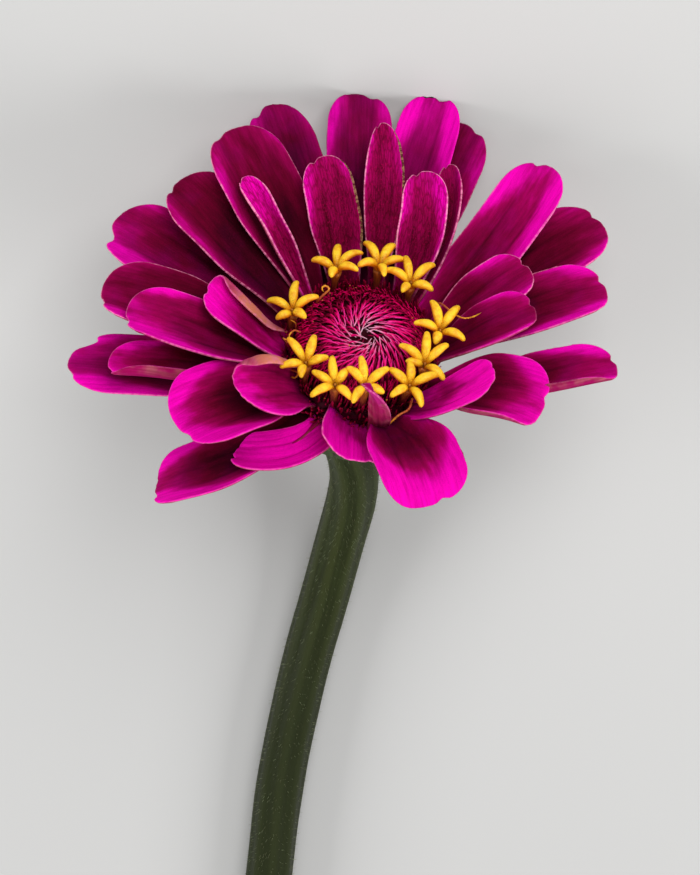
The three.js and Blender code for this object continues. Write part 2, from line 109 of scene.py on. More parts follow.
def places_across(count: int, reach: float) -> np.ndarray:
    """Return places from -reach to reach, closer together towards both edges."""
    return np.sin(np.linspace(-1.0, 1.0, count) * math.pi / 2.0) * reach


def unit_normals(grid: np.ndarray) -> np.ndarray:
    """Return the normal at each point of a sheet."""
    normal = np.cross(np.gradient(grid, axis=0), np.gradient(grid, axis=1))
    return normal / (np.linalg.norm(normal, axis=2, keepdims=True) + 1e-12)


def quads(*corners: np.ndarray) -> list[tuple[int, ...]]:
    """Return faces from four arrays of matching corner numbers."""
    return [tuple(face) for face in np.stack([part.ravel() for part in corners], 1).tolist()]


def linked(name: str, data: bpy.types.ID) -> bpy.types.Object:
    """Make an object in the scene."""
    made = bpy.data.objects.new(name, data)
    bpy.context.scene.collection.objects.link(made)
    return made


def press_flat(piece: bpy.types.Object) -> None:
    """Press what would sink below the surface flat onto it."""
    for vertex in piece.data.vertices:
        vertex.co.z = max(vertex.co.z, 0.0)


@dataclass(frozen=True)
class HeadFrame:
    """The head's own frame: x to the right of its face, y up it, z out of it.

    Attributes:
        elevation: How far the face looks up from the horizontal, in degrees.
        centre: The hub's centre in the row frame, in millimetres.
    """

    elevation: float = 28.0
    centre: Point = (-2.1989, -42.3633, 26.0)

    def axes(self) -> np.ndarray:
        """Return the frame's three axes as rows, in the row frame."""
        look_up = math.radians(self.elevation)
        up, out = math.sin(look_up), math.cos(look_up)
        return np.array([[-1.0, 0.0, 0.0], [0.0, -up, -out], [0.0, -out, up]])

    def place(self, points: np.ndarray) -> np.ndarray:
        """Turn points in head millimetres into metres in the row frame."""
        return (points @ self.axes() + np.array(self.centre)) * MM

    def matrix(self) -> Matrix:
        """Return the placing as a Blender matrix for meshes made in head metres."""
        turn = Matrix(self.axes().T.tolist()).to_4x4()
        return Matrix.Translation(Vector(self.centre) * MM) @ turn


HEAD = HeadFrame()


@dataclass
class Skin:
    """Points, faces and what is stored at each point of one closed mesh.

    Attributes:
        points: One row a point, in head millimetres.
        faces: Corner numbers of each face, outward facing.
        traits: Named values at the points, numbers or vectors, for the finishes.
    """

    points: np.ndarray
    faces: list[tuple[int, ...]]
    traits: dict[str, np.ndarray] = field(default_factory=dict)

    def joined(self, other: "Skin") -> "Skin":
        """Return both skins as one, with the traits that they share."""
        shift = len(self.points)
        moved = [tuple(corner + shift for corner in face) for face in other.faces]
        shared = {
            name: np.concatenate([values, other.traits[name]])
            for name, values in self.traits.items()
            if name in other.traits
        }
        return Skin(np.concatenate([self.points, other.points]), self.faces + moved, shared)

    def mesh(self, name: str, placed: np.ndarray) -> bpy.types.Mesh:
        """Make the mesh with its points placed in metres, and store its traits."""
        made = bpy.data.meshes.new(name)
        made.from_pydata(placed.tolist(), [], self.faces)
        for trait, values in self.traits.items():
            kind, part = ("FLOAT_VECTOR", "vector") if values.ndim == 2 else ("FLOAT", "value")
            layer = made.attributes.new(trait, kind, "POINT")
            layer.data.foreach_set(part, values.astype(np.float32).ravel())
        return made

    def pattern(self, name: str) -> bpy.types.Object:
        """Make an unlinked object in its own metres, for a tree to repeat."""
        return bpy.data.objects.new(name, self.mesh(name, self.points * MM))

    def object(self, name: str, finish: bpy.types.Material, in_head: bool = True) -> bpy.types.Object:
        """Make the piece in the row frame.

        Args:
            name: The piece's name.
            finish: Its material.
            in_head: Whether the points are in the head's frame, or already in the row frame.

        Returns:
            The linked object, smooth shaded.
        """
        mesh = self.mesh(name, HEAD.place(self.points) if in_head else self.points * MM)
        mesh.shade_smooth()
        mesh.materials.append(finish)
        return linked(name, mesh)


def fuse(skins: Sequence[Skin]) -> Skin:
    """Return many skins as one."""
    total = skins[0]
    for skin in skins[1:]:
        total = total.joined(skin)
    return total


def blade_skin(grid: np.ndarray, thickness: np.ndarray, traits: dict[str, np.ndarray]) -> Skin:
    """Close a sheet of points into a thin blade with an upper and an under face.

    Args:
        grid: Points by row along the blade and column across it.
        thickness: The blade's thickness at each of them.
        traits: Values at each of them; the under face repeats them, with under set to 1.

    Returns:
        The closed blade.
    """
    rows, columns = grid.shape[:2]
    offset = unit_normals(grid) * thickness[..., None] / 2.0
    points = np.concatenate([(grid + offset).reshape(-1, 3), (grid - offset).reshape(-1, 3)])
    lower = rows * columns
    top = np.arange(lower).reshape(rows, columns)
    under = top + lower
    faces = quads(top[:-1, :-1], top[1:, :-1], top[1:, 1:], top[:-1, 1:])
    faces += quads(under[:-1, :-1], under[:-1, 1:], under[1:, 1:], under[1:, :-1])
    loop = np.concatenate([top[0, :-1], top[:-1, -1], top[-1, :0:-1], top[:0:-1, 0]])
    after = np.roll(loop, -1)
    faces += quads(loop, after, after + lower, loop + lower)
    doubled = {name: np.concatenate([v.reshape(-1, *v.shape[2:])] * 2) for name, v in traits.items()}
    doubled["under"] = np.repeat([0.0, 1.0], lower)
    return Skin(points, faces, doubled)


def tube_skin(rings: np.ndarray, traits: dict[str, np.ndarray]) -> Skin:
    """Close rings of points into a tube with a fan over each end.

    Args:
        rings: Points by ring along the tube and place round it, right-handed round the way along.
        traits: Values at each of them.

    Returns:
        The closed tube.
    """
    count, sides = rings.shape[:2]
    ends = np.stack([rings[0].mean(0), rings[-1].mean(0)])
    points = np.concatenate([rings.reshape(-1, 3), ends])
    index = np.arange(count * sides).reshape(count, sides)
    after = np.roll(index, -1, axis=1)
    faces = quads(index[:-1], after[:-1], after[1:], index[1:])
    first, last = count * sides, count * sides + 1
    faces += [(first, int(b), int(a)) for a, b in zip(index[0], after[0])]
    faces += [(last, int(a), int(b)) for a, b in zip(index[-1], after[-1])]
    closed = {}
    for name, values in traits.items():
        flat = values.reshape(-1, *values.shape[2:])
        closed[name] = np.concatenate([flat, values[:1].mean(1), values[-1:].mean(1)])
    return Skin(points, faces, closed)


def sweep_rings(path: np.ndarray, radius: np.ndarray, sides: int) -> np.ndarray:
    """Return rings of points round a path, carried along it without twisting.

    Args:
        path: Points along the middle.
        radius: The ring's radius at each, or at each point and side.
        sides: Points in a ring.

    Returns:
        The rings, right-handed round the way along.
    """
    ahead = np.gradient(path, axis=0)
    ahead /= np.linalg.norm(ahead, axis=1, keepdims=True)
    side = np.cross(ahead[0], OFF_PATH)
    angle = round_angles(sides)
    wide = np.broadcast_to(radius if radius.ndim == 2 else radius[:, None], (len(path), sides))
    rings = np.empty((len(path), sides, 3))
    for k, (point, way) in enumerate(zip(path, ahead)):
        side = side - way * (side @ way)
        side /= np.linalg.norm(side)
        up = np.cross(way, side)
        around = np.outer(np.cos(angle), side) + np.outer(np.sin(angle), up)
        rings[k] = point + around * wide[k][:, None]
    return rings


def curve_through(knots: Sequence[Sequence[float]], count: int) -> np.ndarray:
    """Return evenly taken points of a smooth curve through knots.

    Args:
        knots: The points that it passes.
        count: How many points are returned.

    Returns:
        The curve, by centripetal Catmull-Rom steps.
    """
    known = np.array(knots, float)
    known = np.concatenate([[2 * known[0] - known[1]], known, [2 * known[-1] - known[-2]]])
    fine = []
    for a, b, c, d in zip(known[:-3], known[1:-2], known[2:-1], known[3:]):
        times = np.cumsum([0.0] + [np.linalg.norm(q - p) ** 0.5 for p, q in ((a, b), (b, c), (c, d))])
        for t in np.linspace(times[1], times[2], PER_SPAN, endpoint=False):
            level = [a, b, c, d]
            for first, span in ((0, 1), (0, 2), (1, 1)):
                level = [
                    (p * (times[k + span] - t) + q * (t - times[k])) / (times[k + span] - times[k])
                    for k, (p, q) in enumerate(zip(level[:-1], level[1:]), first)
                ]
            fine.append(level[0])
    fine.append(known[-2])
    line = np.array(fine)
    length = np.concatenate([[0.0], np.cumsum(np.linalg.norm(np.diff(line, axis=0), axis=1))])
    even = np.linspace(0.0, length[-1], count)
    return np.stack([np.interp(even, length, line[:, k]) for k in range(3)], 1)


class Nodes:
    """A node tree that is added to by short calls, which return sockets."""

    def __init__(self, tree: bpy.types.NodeTree) -> None:
        """Take the tree.

        Args:
            tree: Where the nodes go.
        """
        self.tree = tree

    def feed(self, socket: Socket, value: object) -> None:
        """Link another node's socket to an input, or set the input to a plain value."""
        if isinstance(value, Socket):
            self.tree.links.new(value, socket)
        else:
            socket.default_value = value

    def node(self, kind: str, values: dict[str | int, object] | None = None, **settings: object) -> bpy.types.Node:
        """Add a node.

        Args:
            kind: The node's type.
            values: Input values or sockets, by input name or number.
            **settings: The node's own properties.

        Returns:
            The node.
        """
        made = self.tree.nodes.new(kind)
        for name, value in settings.items():
            setattr(made, name, value)
        for key, value in (values or {}).items():
            self.feed(made.inputs[key], value)
        return made

    def calc(self, what: str, first: object, second: object = 0.0) -> Socket:
        """Return one sum, product or other function of two numbers."""
        return self.node("ShaderNodeMath", {0: first, 1: second}, operation=what).outputs[0]


class Shader(Nodes):
    """One material's nodes."""

    def __init__(self, name: str) -> None:
        """Start a material with its surface shader.

        Args:
            name: The material's name.
        """
        self.material = bpy.data.materials.new(name)
        self.material.use_nodes = True
        super().__init__(self.material.node_tree)
        self.surface = self.tree.nodes["Principled BSDF"]

    def trait(self, name: str) -> Socket:
        """Return a number stored at the points."""
        return self.node("ShaderNodeAttribute", attribute_name=name).outputs["Fac"]

    def vector(self, name: str) -> Socket:
        """Return a vector stored at the points."""
        return self.node("ShaderNodeAttribute", attribute_name=name).outputs["Vector"]

    def place(self) -> Socket:
        """Return the Object coordinates, in metres."""
        return self.node("ShaderNodeTexCoord").outputs["Object"]

    def scaled(self, vector: Socket, scale: Point) -> Socket:
        """Return a vector times one scale for each axis."""
        return self.node("ShaderNodeMapping", {"Vector": vector, "Scale": scale}).outputs["Vector"]

    def noise(self, vector: Socket, scale: float, detail: float = 3.0) -> Socket:
        """Return cloudy noise from 0 to 1."""
        values = {"Vector": vector, "Scale": scale, "Detail": detail, "Roughness": 0.55}
        return self.node("ShaderNodeTexNoise", values).outputs["Fac"]

    def cells(self, vector: Socket, scale: float) -> Socket:
        """Return the distance to the nearest cell wall."""
        values = {"Vector": vector, "Scale": scale}
        return self.node("ShaderNodeTexVoronoi", values, feature="DISTANCE_TO_EDGE").outputs["Distance"]

    def span(self, value: Socket, low: float, high: float, start: float = 0.0, end: float = 1.0) -> Socket:
        """Return value ramped smoothly from start at low to end at high."""
        values = {"Value": value, "From Min": low, "From Max": high, "To Min": start, "To Max": end}
        return self.node("ShaderNodeMapRange", values, interpolation_type="SMOOTHSTEP").outputs["Result"]

    def blend(self, share: object, first: object, second: object, how: str = "MIX") -> Socket:
        """Return two colours blended by share."""
        values = {0: share, 6: rgba(first), 7: rgba(second)}
        return self.node("ShaderNodeMix", values, data_type="RGBA", blend_type=how).outputs[2]

    def bump(self, height: Socket, strength: float, depth: float) -> None:
        """Roughen the surface by a height, depth in metres."""
        made = self.node("ShaderNodeBump", {"Height": height, "Strength": strength, "Distance": depth})
        self.tree.links.new(made.outputs["Normal"], self.surface.inputs["Normal"])

    def colour(self, socket: Socket) -> None:
        """Give the surface its colour."""
        self.tree.links.new(socket, self.surface.inputs["Base Color"])

    def gloss(self, **values: object) -> None:
        """Set constant sockets of the surface shader, by their names with _ for a space."""
        for name, value in values.items():
            self.surface.inputs[name.replace("_", " ")].default_value = value


def rgba(value: object) -> object:
    """Return a colour with its alpha, and any socket as it is."""
    return (*value, 1.0) if isinstance(value, tuple) and len(value) == 3 else value


@dataclass(frozen=True)
class Look:
    """How one ray petal is coloured, with the painted light and shade that it gets.

    Attributes:
        lift: Painted light that it has everywhere, with its own paleness.
        gain: How much painted light it gets towards its lips.
        tone: 0 for crimson and 1 for purple.
        rim: How pale its thin rim is, with painted light shining through its edge.
        net: How dark the net of its veins is.
        faded: How cream its folded clockwise edge is.
        dried: How far its clockwise rim has dried to tan.
    """

    lift: float = 0.0
    gain: float = 1.0
    tone: float = 0.4
    rim: float = 0.2
    net: float = 0.1
    faded: float = 0.0
    dried: float = 0.0


@dataclass(frozen=True)
class PetalFinish:
    """Velvet from deep crimson or purple in painted shade to hot magenta lips in painted light, over a dusky
    underside.

    Attributes:
        crimson: Colours of a crimson petal's heart in painted shade, its blade, and its lip in painted light.
        purple: The same of a purple one.
        hot: Colour of the lips in the strongest painted light.
        vein: Colour that the veins are multiplied by.
        furrow: The same for the painted shade in the long furrows.
        web: The same for the net of cells.
        fleck: Colour of the flecks in the net.
        pale: Colour of the rim, its own pale margin lit by painted light.
        peach: Two colours of a faded edge.
        tan: Two colours of a dried rim.
        back: Colours of the underside's foot, tip and bright lip.
        dusty: Colour of the patches along the underside's edge.
        back_vein: Colour that the underside's veins are multiplied by.
        nap: Depth of the velvet, in metres.
        sheen: Colour of its sheen, with alpha.
    """

    crimson: tuple[Colour, Colour, Colour] = ((0.04, 0.0, 0.006), (0.13, 0.0, 0.018), (0.38, 0.0, 0.1))
    purple: tuple[Colour, Colour, Colour] = ((0.05, 0.0, 0.018), (0.17, 0.0, 0.052), (0.42, 0.0, 0.165))
    hot: Colour = (0.86, 0.0, 0.44)
    vein: Colour = (0.4, 0.2, 0.3)
    furrow: Colour = (0.35, 0.2, 0.25)
    web: Colour = (0.3, 0.1, 0.12)
    fleck: Colour = (0.42, 0.0, 0.07)
    pale: Colour = (0.95, 0.3, 0.5)
    peach: tuple[Colour, Colour] = ((0.62, 0.18, 0.22), (0.6, 0.2, 0.1))
    tan: tuple[Colour, Colour] = ((0.07, 0.012, 0.012), (0.27, 0.14, 0.07))
    back: tuple[Colour, Colour, Colour] = ((0.26, 0.02, 0.05), (0.36, 0.004, 0.1), (0.56, 0.03, 0.27))
    dusty: Colour = (0.42, 0.11, 0.13)
    back_vein: Colour = (0.5, 0.25, 0.35)
    nap: float = 0.00016
    sheen: tuple[float, float, float, float] = (1.0, 0.0, 0.45, 1.0)

    def ramp(self, s: Shader, glow: Socket, colours: tuple[Colour, Colour, Colour]) -> Socket:
        """Return the heart, the blade and the lip one after the other by the painted light: painted shade at the
        heart, painted light at the lip.
        """
        face = s.blend(s.span(glow, 0.0, 0.4), colours[0], colours[1])
        return s.blend(s.span(glow, 0.3, 0.85), face, colours[2])

    def above(self, s: Shader, grain: Socket, tone: Socket) -> Socket:
        """Return the upper face's colour, crimson or purple by tone, brighter by its painted light and hot magenta
        where that is strongest.
        """
        sway = s.span(s.noise(s.scaled(grain, (0.45, 0.14, 1.0)), 1.0), 0.3, 0.7, -0.11, 0.11)
        glow = s.calc("ADD", s.trait("glow"), sway)
        face = s.blend(s.span(tone, 0.0, 1.0), self.ramp(s, glow, self.crimson), self.ramp(s, glow, self.purple))
        return s.blend(s.span(glow, 0.66, 1.02), face, self.hot)

    def below(self, s: Shader, lines: Socket, tone: Socket) -> Socket:
        """Return the underside's colour, dusty in patches along the edge."""
        along = s.trait("along")
        foot, tip, lip = self.back
        face = s.blend(s.span(along, 0.2, 0.9), foot, tip)
        bright = s.calc("MULTIPLY", s.span(along, 0.55, 1.0), s.span(tone, 0.75, 1.0))
        face = s.blend(bright, face, lip)
        patch = s.span(s.noise(s.vector("grain"), 0.45, 2.0), 0.4, 0.65)
        dusty = s.calc("MULTIPLY", patch, s.span(s.trait("edge"), 0.3, 2.0, 0.7, 0.0))
        face = s.blend(dusty, face, self.dusty)
        return s.blend(s.span(lines, 0.4, 0.6, 0.5, 0.0), face, self.back_vein, "MULTIPLY")

    def veined(self, s: Shader, grain: Socket, lines: Socket, dust: Socket, face: Socket) -> Socket:
        """Return face with its veins, painted shade in the furrows, net of cells, flecks and dust."""
        net = s.trait("net")
        face = s.blend(s.span(lines, 0.36, 0.62, 0.32, 0.0), face, self.vein, "MULTIPLY")
        # Painted shade along the long furrows.
        face = s.blend(s.calc("MULTIPLY", s.trait("furrow"), 0.7), face, self.furrow, "MULTIPLY")
        walls = s.span(s.cells(s.scaled(grain, (3.0, 0.5, 1.0)), 1.0), 0.02, 0.18, 0.8, 0.0)
        face = s.blend(s.calc("MULTIPLY", walls, net), face, self.web, "MULTIPLY")
        flecks = s.span(s.noise(s.scaled(grain, (5.0, 3.2, 1.0)), 1.0, 2.0), 0.5, 0.75, 0.0, 0.6)
        face = s.blend(s.calc("MULTIPLY", flecks, net), face, self.fleck)
        return s.blend(s.span(dust, 0.3, 0.5, 0.25, 0.0), face, self.vein, "MULTIPLY")

    def aged(self, s: Shader, grain: Socket, face: Socket) -> Socket:
        """Return face with its faded edge, its broken pale rim in part painted light, and its dried rim."""
        peach = s.blend(s.span(s.noise(grain, 0.6, 2.0), 0.4, 0.6), *self.peach)
        face = s.blend(s.trait("faded"), face, peach)
        # The pale rim is the petal's own pale margin together with painted light through its hairy edge.
        broken = s.span(s.noise(grain, 1.6, 3.0), 0.38, 0.6, 0.25, 1.0)
        rim = s.calc("MULTIPLY", s.span(s.trait("edge"), 0.03, 0.13, 1.0, 0.0), s.trait("rim"))
        face = s.blend(s.calc("MULTIPLY", rim, broken), face, self.pale)
        crust = s.noise(grain, 2.6, 3.0)
        tan = s.blend(s.span(crust, 0.42, 0.62), *self.tan)
        return s.blend(s.span(s.calc("ADD", s.trait("dried"), crust), 1.0, 1.3), face, tan)

    def material(self) -> bpy.types.Material:
        """Build the finish."""
        s = Shader("petal_velvet")
        grain = s.vector("grain")
        cloud = s.span(s.noise(grain, 0.22, 2.0), 0.3, 0.7, -0.35, 0.35)
        tone = s.calc("ADD", s.trait("tone"), cloud)
        lines = s.noise(s.scaled(grain, (3.2, 0.16, 1.0)), 1.0, 4.0)
        dust = s.noise(grain, 8.0, 1.0)
        face = self.veined(s, grain, lines, dust, self.above(s, grain, tone))
        face = s.blend(s.span(s.trait("under"), 0.35, 0.65), face, self.below(s, lines, tone))
        s.colour(self.aged(s, grain, face))
        s.bump(s.calc("ADD", s.calc("MULTIPLY", lines, 0.7), s.calc("MULTIPLY", dust, 0.3)), 0.6, self.nap)
        s.gloss(Roughness=0.8, Specular_IOR_Level=0.04, Sheen_Weight=0.12, Sheen_Tint=self.sheen)
        return s.material


class Row(Enum):
    """Where a ray petal leaves the hub, as ring radius and height."""

    OUTER = (9.9, -1.6)
    MIDDLE = (9.6, -0.2)
    INNER = (9.3, 1.2)


# Rows and lanes of points on a petal, and the share of its length that is sunk in the hub.
PETAL_ROWS, PETAL_LANES, PETAL_SUNK = 66, 41, 0.045
# Thickness at the root and further out, and how far from the edge it starts to thin.
PETAL_ROOT, PETAL_BLADE, PETAL_THIN = 0.75, 0.42, 0.4


@dataclass(frozen=True)
class Petal:
    """One ray petal, with lengths in millimetres and angles in degrees.

    Attributes:
        az: Azimuth round the head, anticlockwise from the right.
        long: Length from the hub to the tip.
        wide: Greatest width, measured round its curl.
        rise: Slope at the root.
        bend: How much the slope changes evenly on the way.
        tip: How much more it changes near the end.
        cup: Half angle of the rolled cross-section at the root.
        lip: The same at the end.
        row: The ring that it grows from.
        sweep: How far it turns sideways on the way.
        claw: Width at the root as a share of the greatest.
        roll: How far its anticlockwise edge is turned up.
        taper: What its width loses at the tip, as a share.
        blunt: How far the end is rounded back at its sides, as a share of the length.
        full: Share of the length at which it is widest.
        look: How it is coloured.
        folds: Extra curl of the clockwise and the anticlockwise edge.
        crease: Shares of the half width between which that curl lies.
        notches: Place across, depth and half width of each dent in the end.
        wave: Height of the slow waves near the end.
        groove: Depth of the two long grooves.
        rib: Height of the fine ribs.
        rib_apart: Distance between them.
    """

    az: float
    long: float
    wide: float
    rise: float
    bend: float
    tip: float
    cup: float
    lip: float
    row: Row
    sweep: float = 0.0
    claw: float = 0.32
    roll: float = 0.0
    taper: float = 0.1
    blunt: float = 0.2
    full: float = 0.62
    look: Look = Look()
    folds: tuple[float, float] = (0.0, 0.0)
    crease: tuple[float, float] = (0.35, 1.0)
    notches: tuple[tuple[float, float, float], ...] = ((0.3, 0.5, 0.12),)
    wave: float = 0.3
    groove: float = 0.16
    rib: float = 0.035
    rib_apart: float = 0.95

    def width(self, t: np.ndarray) -> np.ndarray:
        """Return the width at shares t of the length: a claw that opens past the middle."""
        past = np.clip((t - self.full) / (1.0 - self.full), 0.0, 1.0)
        return self.wide * mix(self.claw, 1.0, smooth(t, 0.0, self.full)) * (1.0 - self.taper * past * past)

    def spine(self, t: np.ndarray) -> tuple[np.ndarray, np.ndarray, np.ndarray]:
        """Return the middle line with its sideways and upward directions at shares t."""
        fine = np.linspace(-0.1, 1.0, 221)
        late = np.clip((fine - 0.55) / 0.45, 0.0, 1.0)
        slope = np.radians(self.rise + self.bend * fine + self.tip * late**2)
        heading = np.radians(self.az + self.sweep * fine)
        flat = np.cos(slope)
        ahead = np.stack([flat * np.cos(heading), flat * np.sin(heading), np.sin(slope)], 1)
        side = np.stack([-np.sin(heading), np.cos(heading), 0.0 * heading], 1)
        up = np.cross(ahead, side)
        roll = math.radians(self.roll)
        side, up = side * math.cos(roll) + up * math.sin(roll), up * math.cos(roll) - side * math.sin(roll)
        steps = (ahead[1:] + ahead[:-1]) / 2.0 * np.diff(fine)[:, None] * self.long
        line = np.concatenate([np.zeros((1, 3)), np.cumsum(steps, 0)])
        ring, height = self.row.value
        az = math.radians(self.az)
        start = np.array([math.cos(az) * ring, math.sin(az) * ring, height])
        line += start - np.array([np.interp(0.0, fine, line[:, k]) for k in range(3)])

        def at(values: np.ndarray) -> np.ndarray:
            """Return values of the fine line at t."""
            return np.stack([np.interp(t, fine, values[:, k]) for k in range(3)], -1)

        return at(line), at(side), at(up)

    def reach(self, s: np.ndarray) -> np.ndarray:
        """Return where the end lies along the length at places s across."""
        edge = 1.0 - self.blunt * (1.0 - np.sqrt(np.clip(1.0 - np.abs(s) ** 2.4, 0.0, 1.0)))
        for place, depth, wide in self.notches:
            edge = edge - depth / self.long * np.exp(-(((s - place) / wide) ** 2))
        return edge

    def skin(self, seed: int) -> Skin:
        """Build the closed petal.

        Args:
            seed: Picks its unevenness.

        Returns:
            The petal in the head's frame.
        """
        s = places_across(PETAL_LANES, 0.999)
        share = np.linspace(-PETAL_SUNK, 1.0, PETAL_ROWS)[:, None]
        t = share * self.reach(s)[None, :]
        across = np.broadcast_to(s, t.shape)
        half = self.width(t) / 2.0
        curl = np.radians(mix(self.cup, self.lip, t))
        before, after = (np.radians(fold) * smooth(t, 0.05, 0.5) for fold in self.folds)
        theta = across * curl + after * smooth(across, *self.crease) - before * smooth(-across, *self.crease)
        flat, high = (self.across_sum(part, s) for part in (np.cos(theta), np.sin(theta)))
        line, side, up = self.spine(t)
        grid = line + side * (flat * half)[..., None] + up * (high * half)[..., None]
        grid = grid + unit_normals(grid) * self.relief(across, t, half, seed)[..., None]
        edge = np.minimum(half * (1.0 - np.abs(across)), self.long * self.reach(s) * (1.0 - share))
        body = mix(PETAL_ROOT, PETAL_BLADE, smooth(t, 0.0, 0.4))
        thin = np.sqrt(1.0 - (1.0 - np.clip(edge / PETAL_THIN, 0.0, 1.0)) ** 2)
        return blade_skin(grid, body * (0.25 + 0.75 * thin), self.traits(across, t, half, edge, seed))

    def traits(
        self, s: np.ndarray, t: np.ndarray, half: np.ndarray, edge: np.ndarray, seed: int,
    ) -> dict[str, np.ndarray]:
        """Return what the finish reads at each point.

        Args:
            s: Place across, from -1 to 1.
            t: Place along, from 0 to 1.
            half: Half width there.
            edge: Distance to the edge.
            seed: Picks the unevenness.

        Returns:
            Values by the names that PetalFinish reads.
        """
        look = self.look
        # Painted light on the edge that lies lower in the camera's view, which also turns that edge more purple.
        low = -np.cos(np.radians(self.az + self.sweep * t)) * s * smooth(t, 0.2, 0.6)
        # Painted light and shade: darker in the cup's middle and at the root, partly the petal's own darker heart,
        # brighter towards the lips and the tip.
        glow = 0.12 + 0.7 * np.abs(s) ** 2.2 + 0.62 * smooth(t, 0.4, 1.0) - 0.2 * smooth(-t, -0.4, 0.0)
        glow = np.clip(glow + 0.1 * drift(s * 1.5, t * 3.0, seed + 90) + 0.26 * low, 0.0, 1.1) ** 1.3
        # Where the painted shade of the long furrows lies.
        furrow = self.furrows(s, t, seed, 0.05) * smooth(t, 0.1, 0.3) * smooth(-t, -0.9, -0.6)
        return {
            "grain": np.stack([s * half, t * self.long, np.full_like(t, seed * 7.3)], -1),
            "edge": edge,
            "along": t,
            "glow": np.clip(look.lift + look.gain * glow, 0.0, 1.0),
            "tone": look.tone + 0.15 * drift(s * 1.2, t * 2.0, seed + 60) + 0.2 * low,
            "furrow": furrow,
            "rim": look.rim * smooth(t, 0.15, 0.4),
            "net": np.full_like(t, look.net),
            "faded": look.faded * smooth(-s, 0.45, 0.75) * smooth(t, 0.2, 0.45) * smooth(-t, -0.95, -0.65),
            "dried": look.dried * smooth(-s, 0.5, 0.8) * smooth(t, 0.3, 0.45) * smooth(-edge, -0.5, -0.05),
        }

    @staticmethod
    def across_sum(values: np.ndarray, s: np.ndarray) -> np.ndarray:
        """Return the running sum of values across the blade, zero at its middle."""
        steps = (values[:, 1:] + values[:, :-1]) / 2.0 * np.diff(s)
        total = np.concatenate([np.zeros((len(values), 1)), np.cumsum(steps, 1)], 1)
        return total - total[:, [len(s) // 2]]

    @staticmethod
    def furrows(s: np.ndarray, t: np.ndarray, seed: int, wide: float) -> np.ndarray:
        """Return 1 along the two long furrows, falling to 0 beside them."""
        apart = 0.34 - 0.1 * smooth(-t, -0.7, -0.1)
        return np.exp(-(((np.abs(s - Petal.sway(t, seed)) - apart) / wide) ** 2))

    @staticmethod
    def sway(t: np.ndarray, seed: int) -> np.ndarray:
        """Return how far the furrows and ribs wander sideways."""
        return 0.06 * drift(t * 3.0, t, seed + 5)

    def relief(self, s: np.ndarray, t: np.ndarray, half: np.ndarray, seed: int) -> np.ndarray:
        """Return the height of grooves, fine ribs and slow waves on the blade.

        Args:
            s: Place across, from -1 to 1.
            t: Place along, from 0 to 1.
            half: Half width there.
            seed: Picks the unevenness.

        Returns:
            Height along the blade's normal.
        """
        grooves = self.furrows(s, t, seed, 0.09)
        fade = smooth(t, 0.05, 0.35)
        ribs = np.sin(s * half * 2.0 * math.pi / self.rib_apart + 2.0 * self.sway(t, seed))
        ribs = ribs * smooth(1.0 - np.abs(s), 0.0, 0.25)
        waves = drift(s * half * 0.45, t * self.long * 0.2, seed) * smooth(t, 0.35, 1.0)
        curl = drift(t * self.long * 0.35, s * 0.3, seed + 31)
        curl = curl * smooth(np.abs(s), 0.55, 1.0) * smooth(t, 0.2, 0.7)
        return -self.groove * grooves * fade + self.rib * ribs * fade + self.wave * (waves + 0.5 * curl)


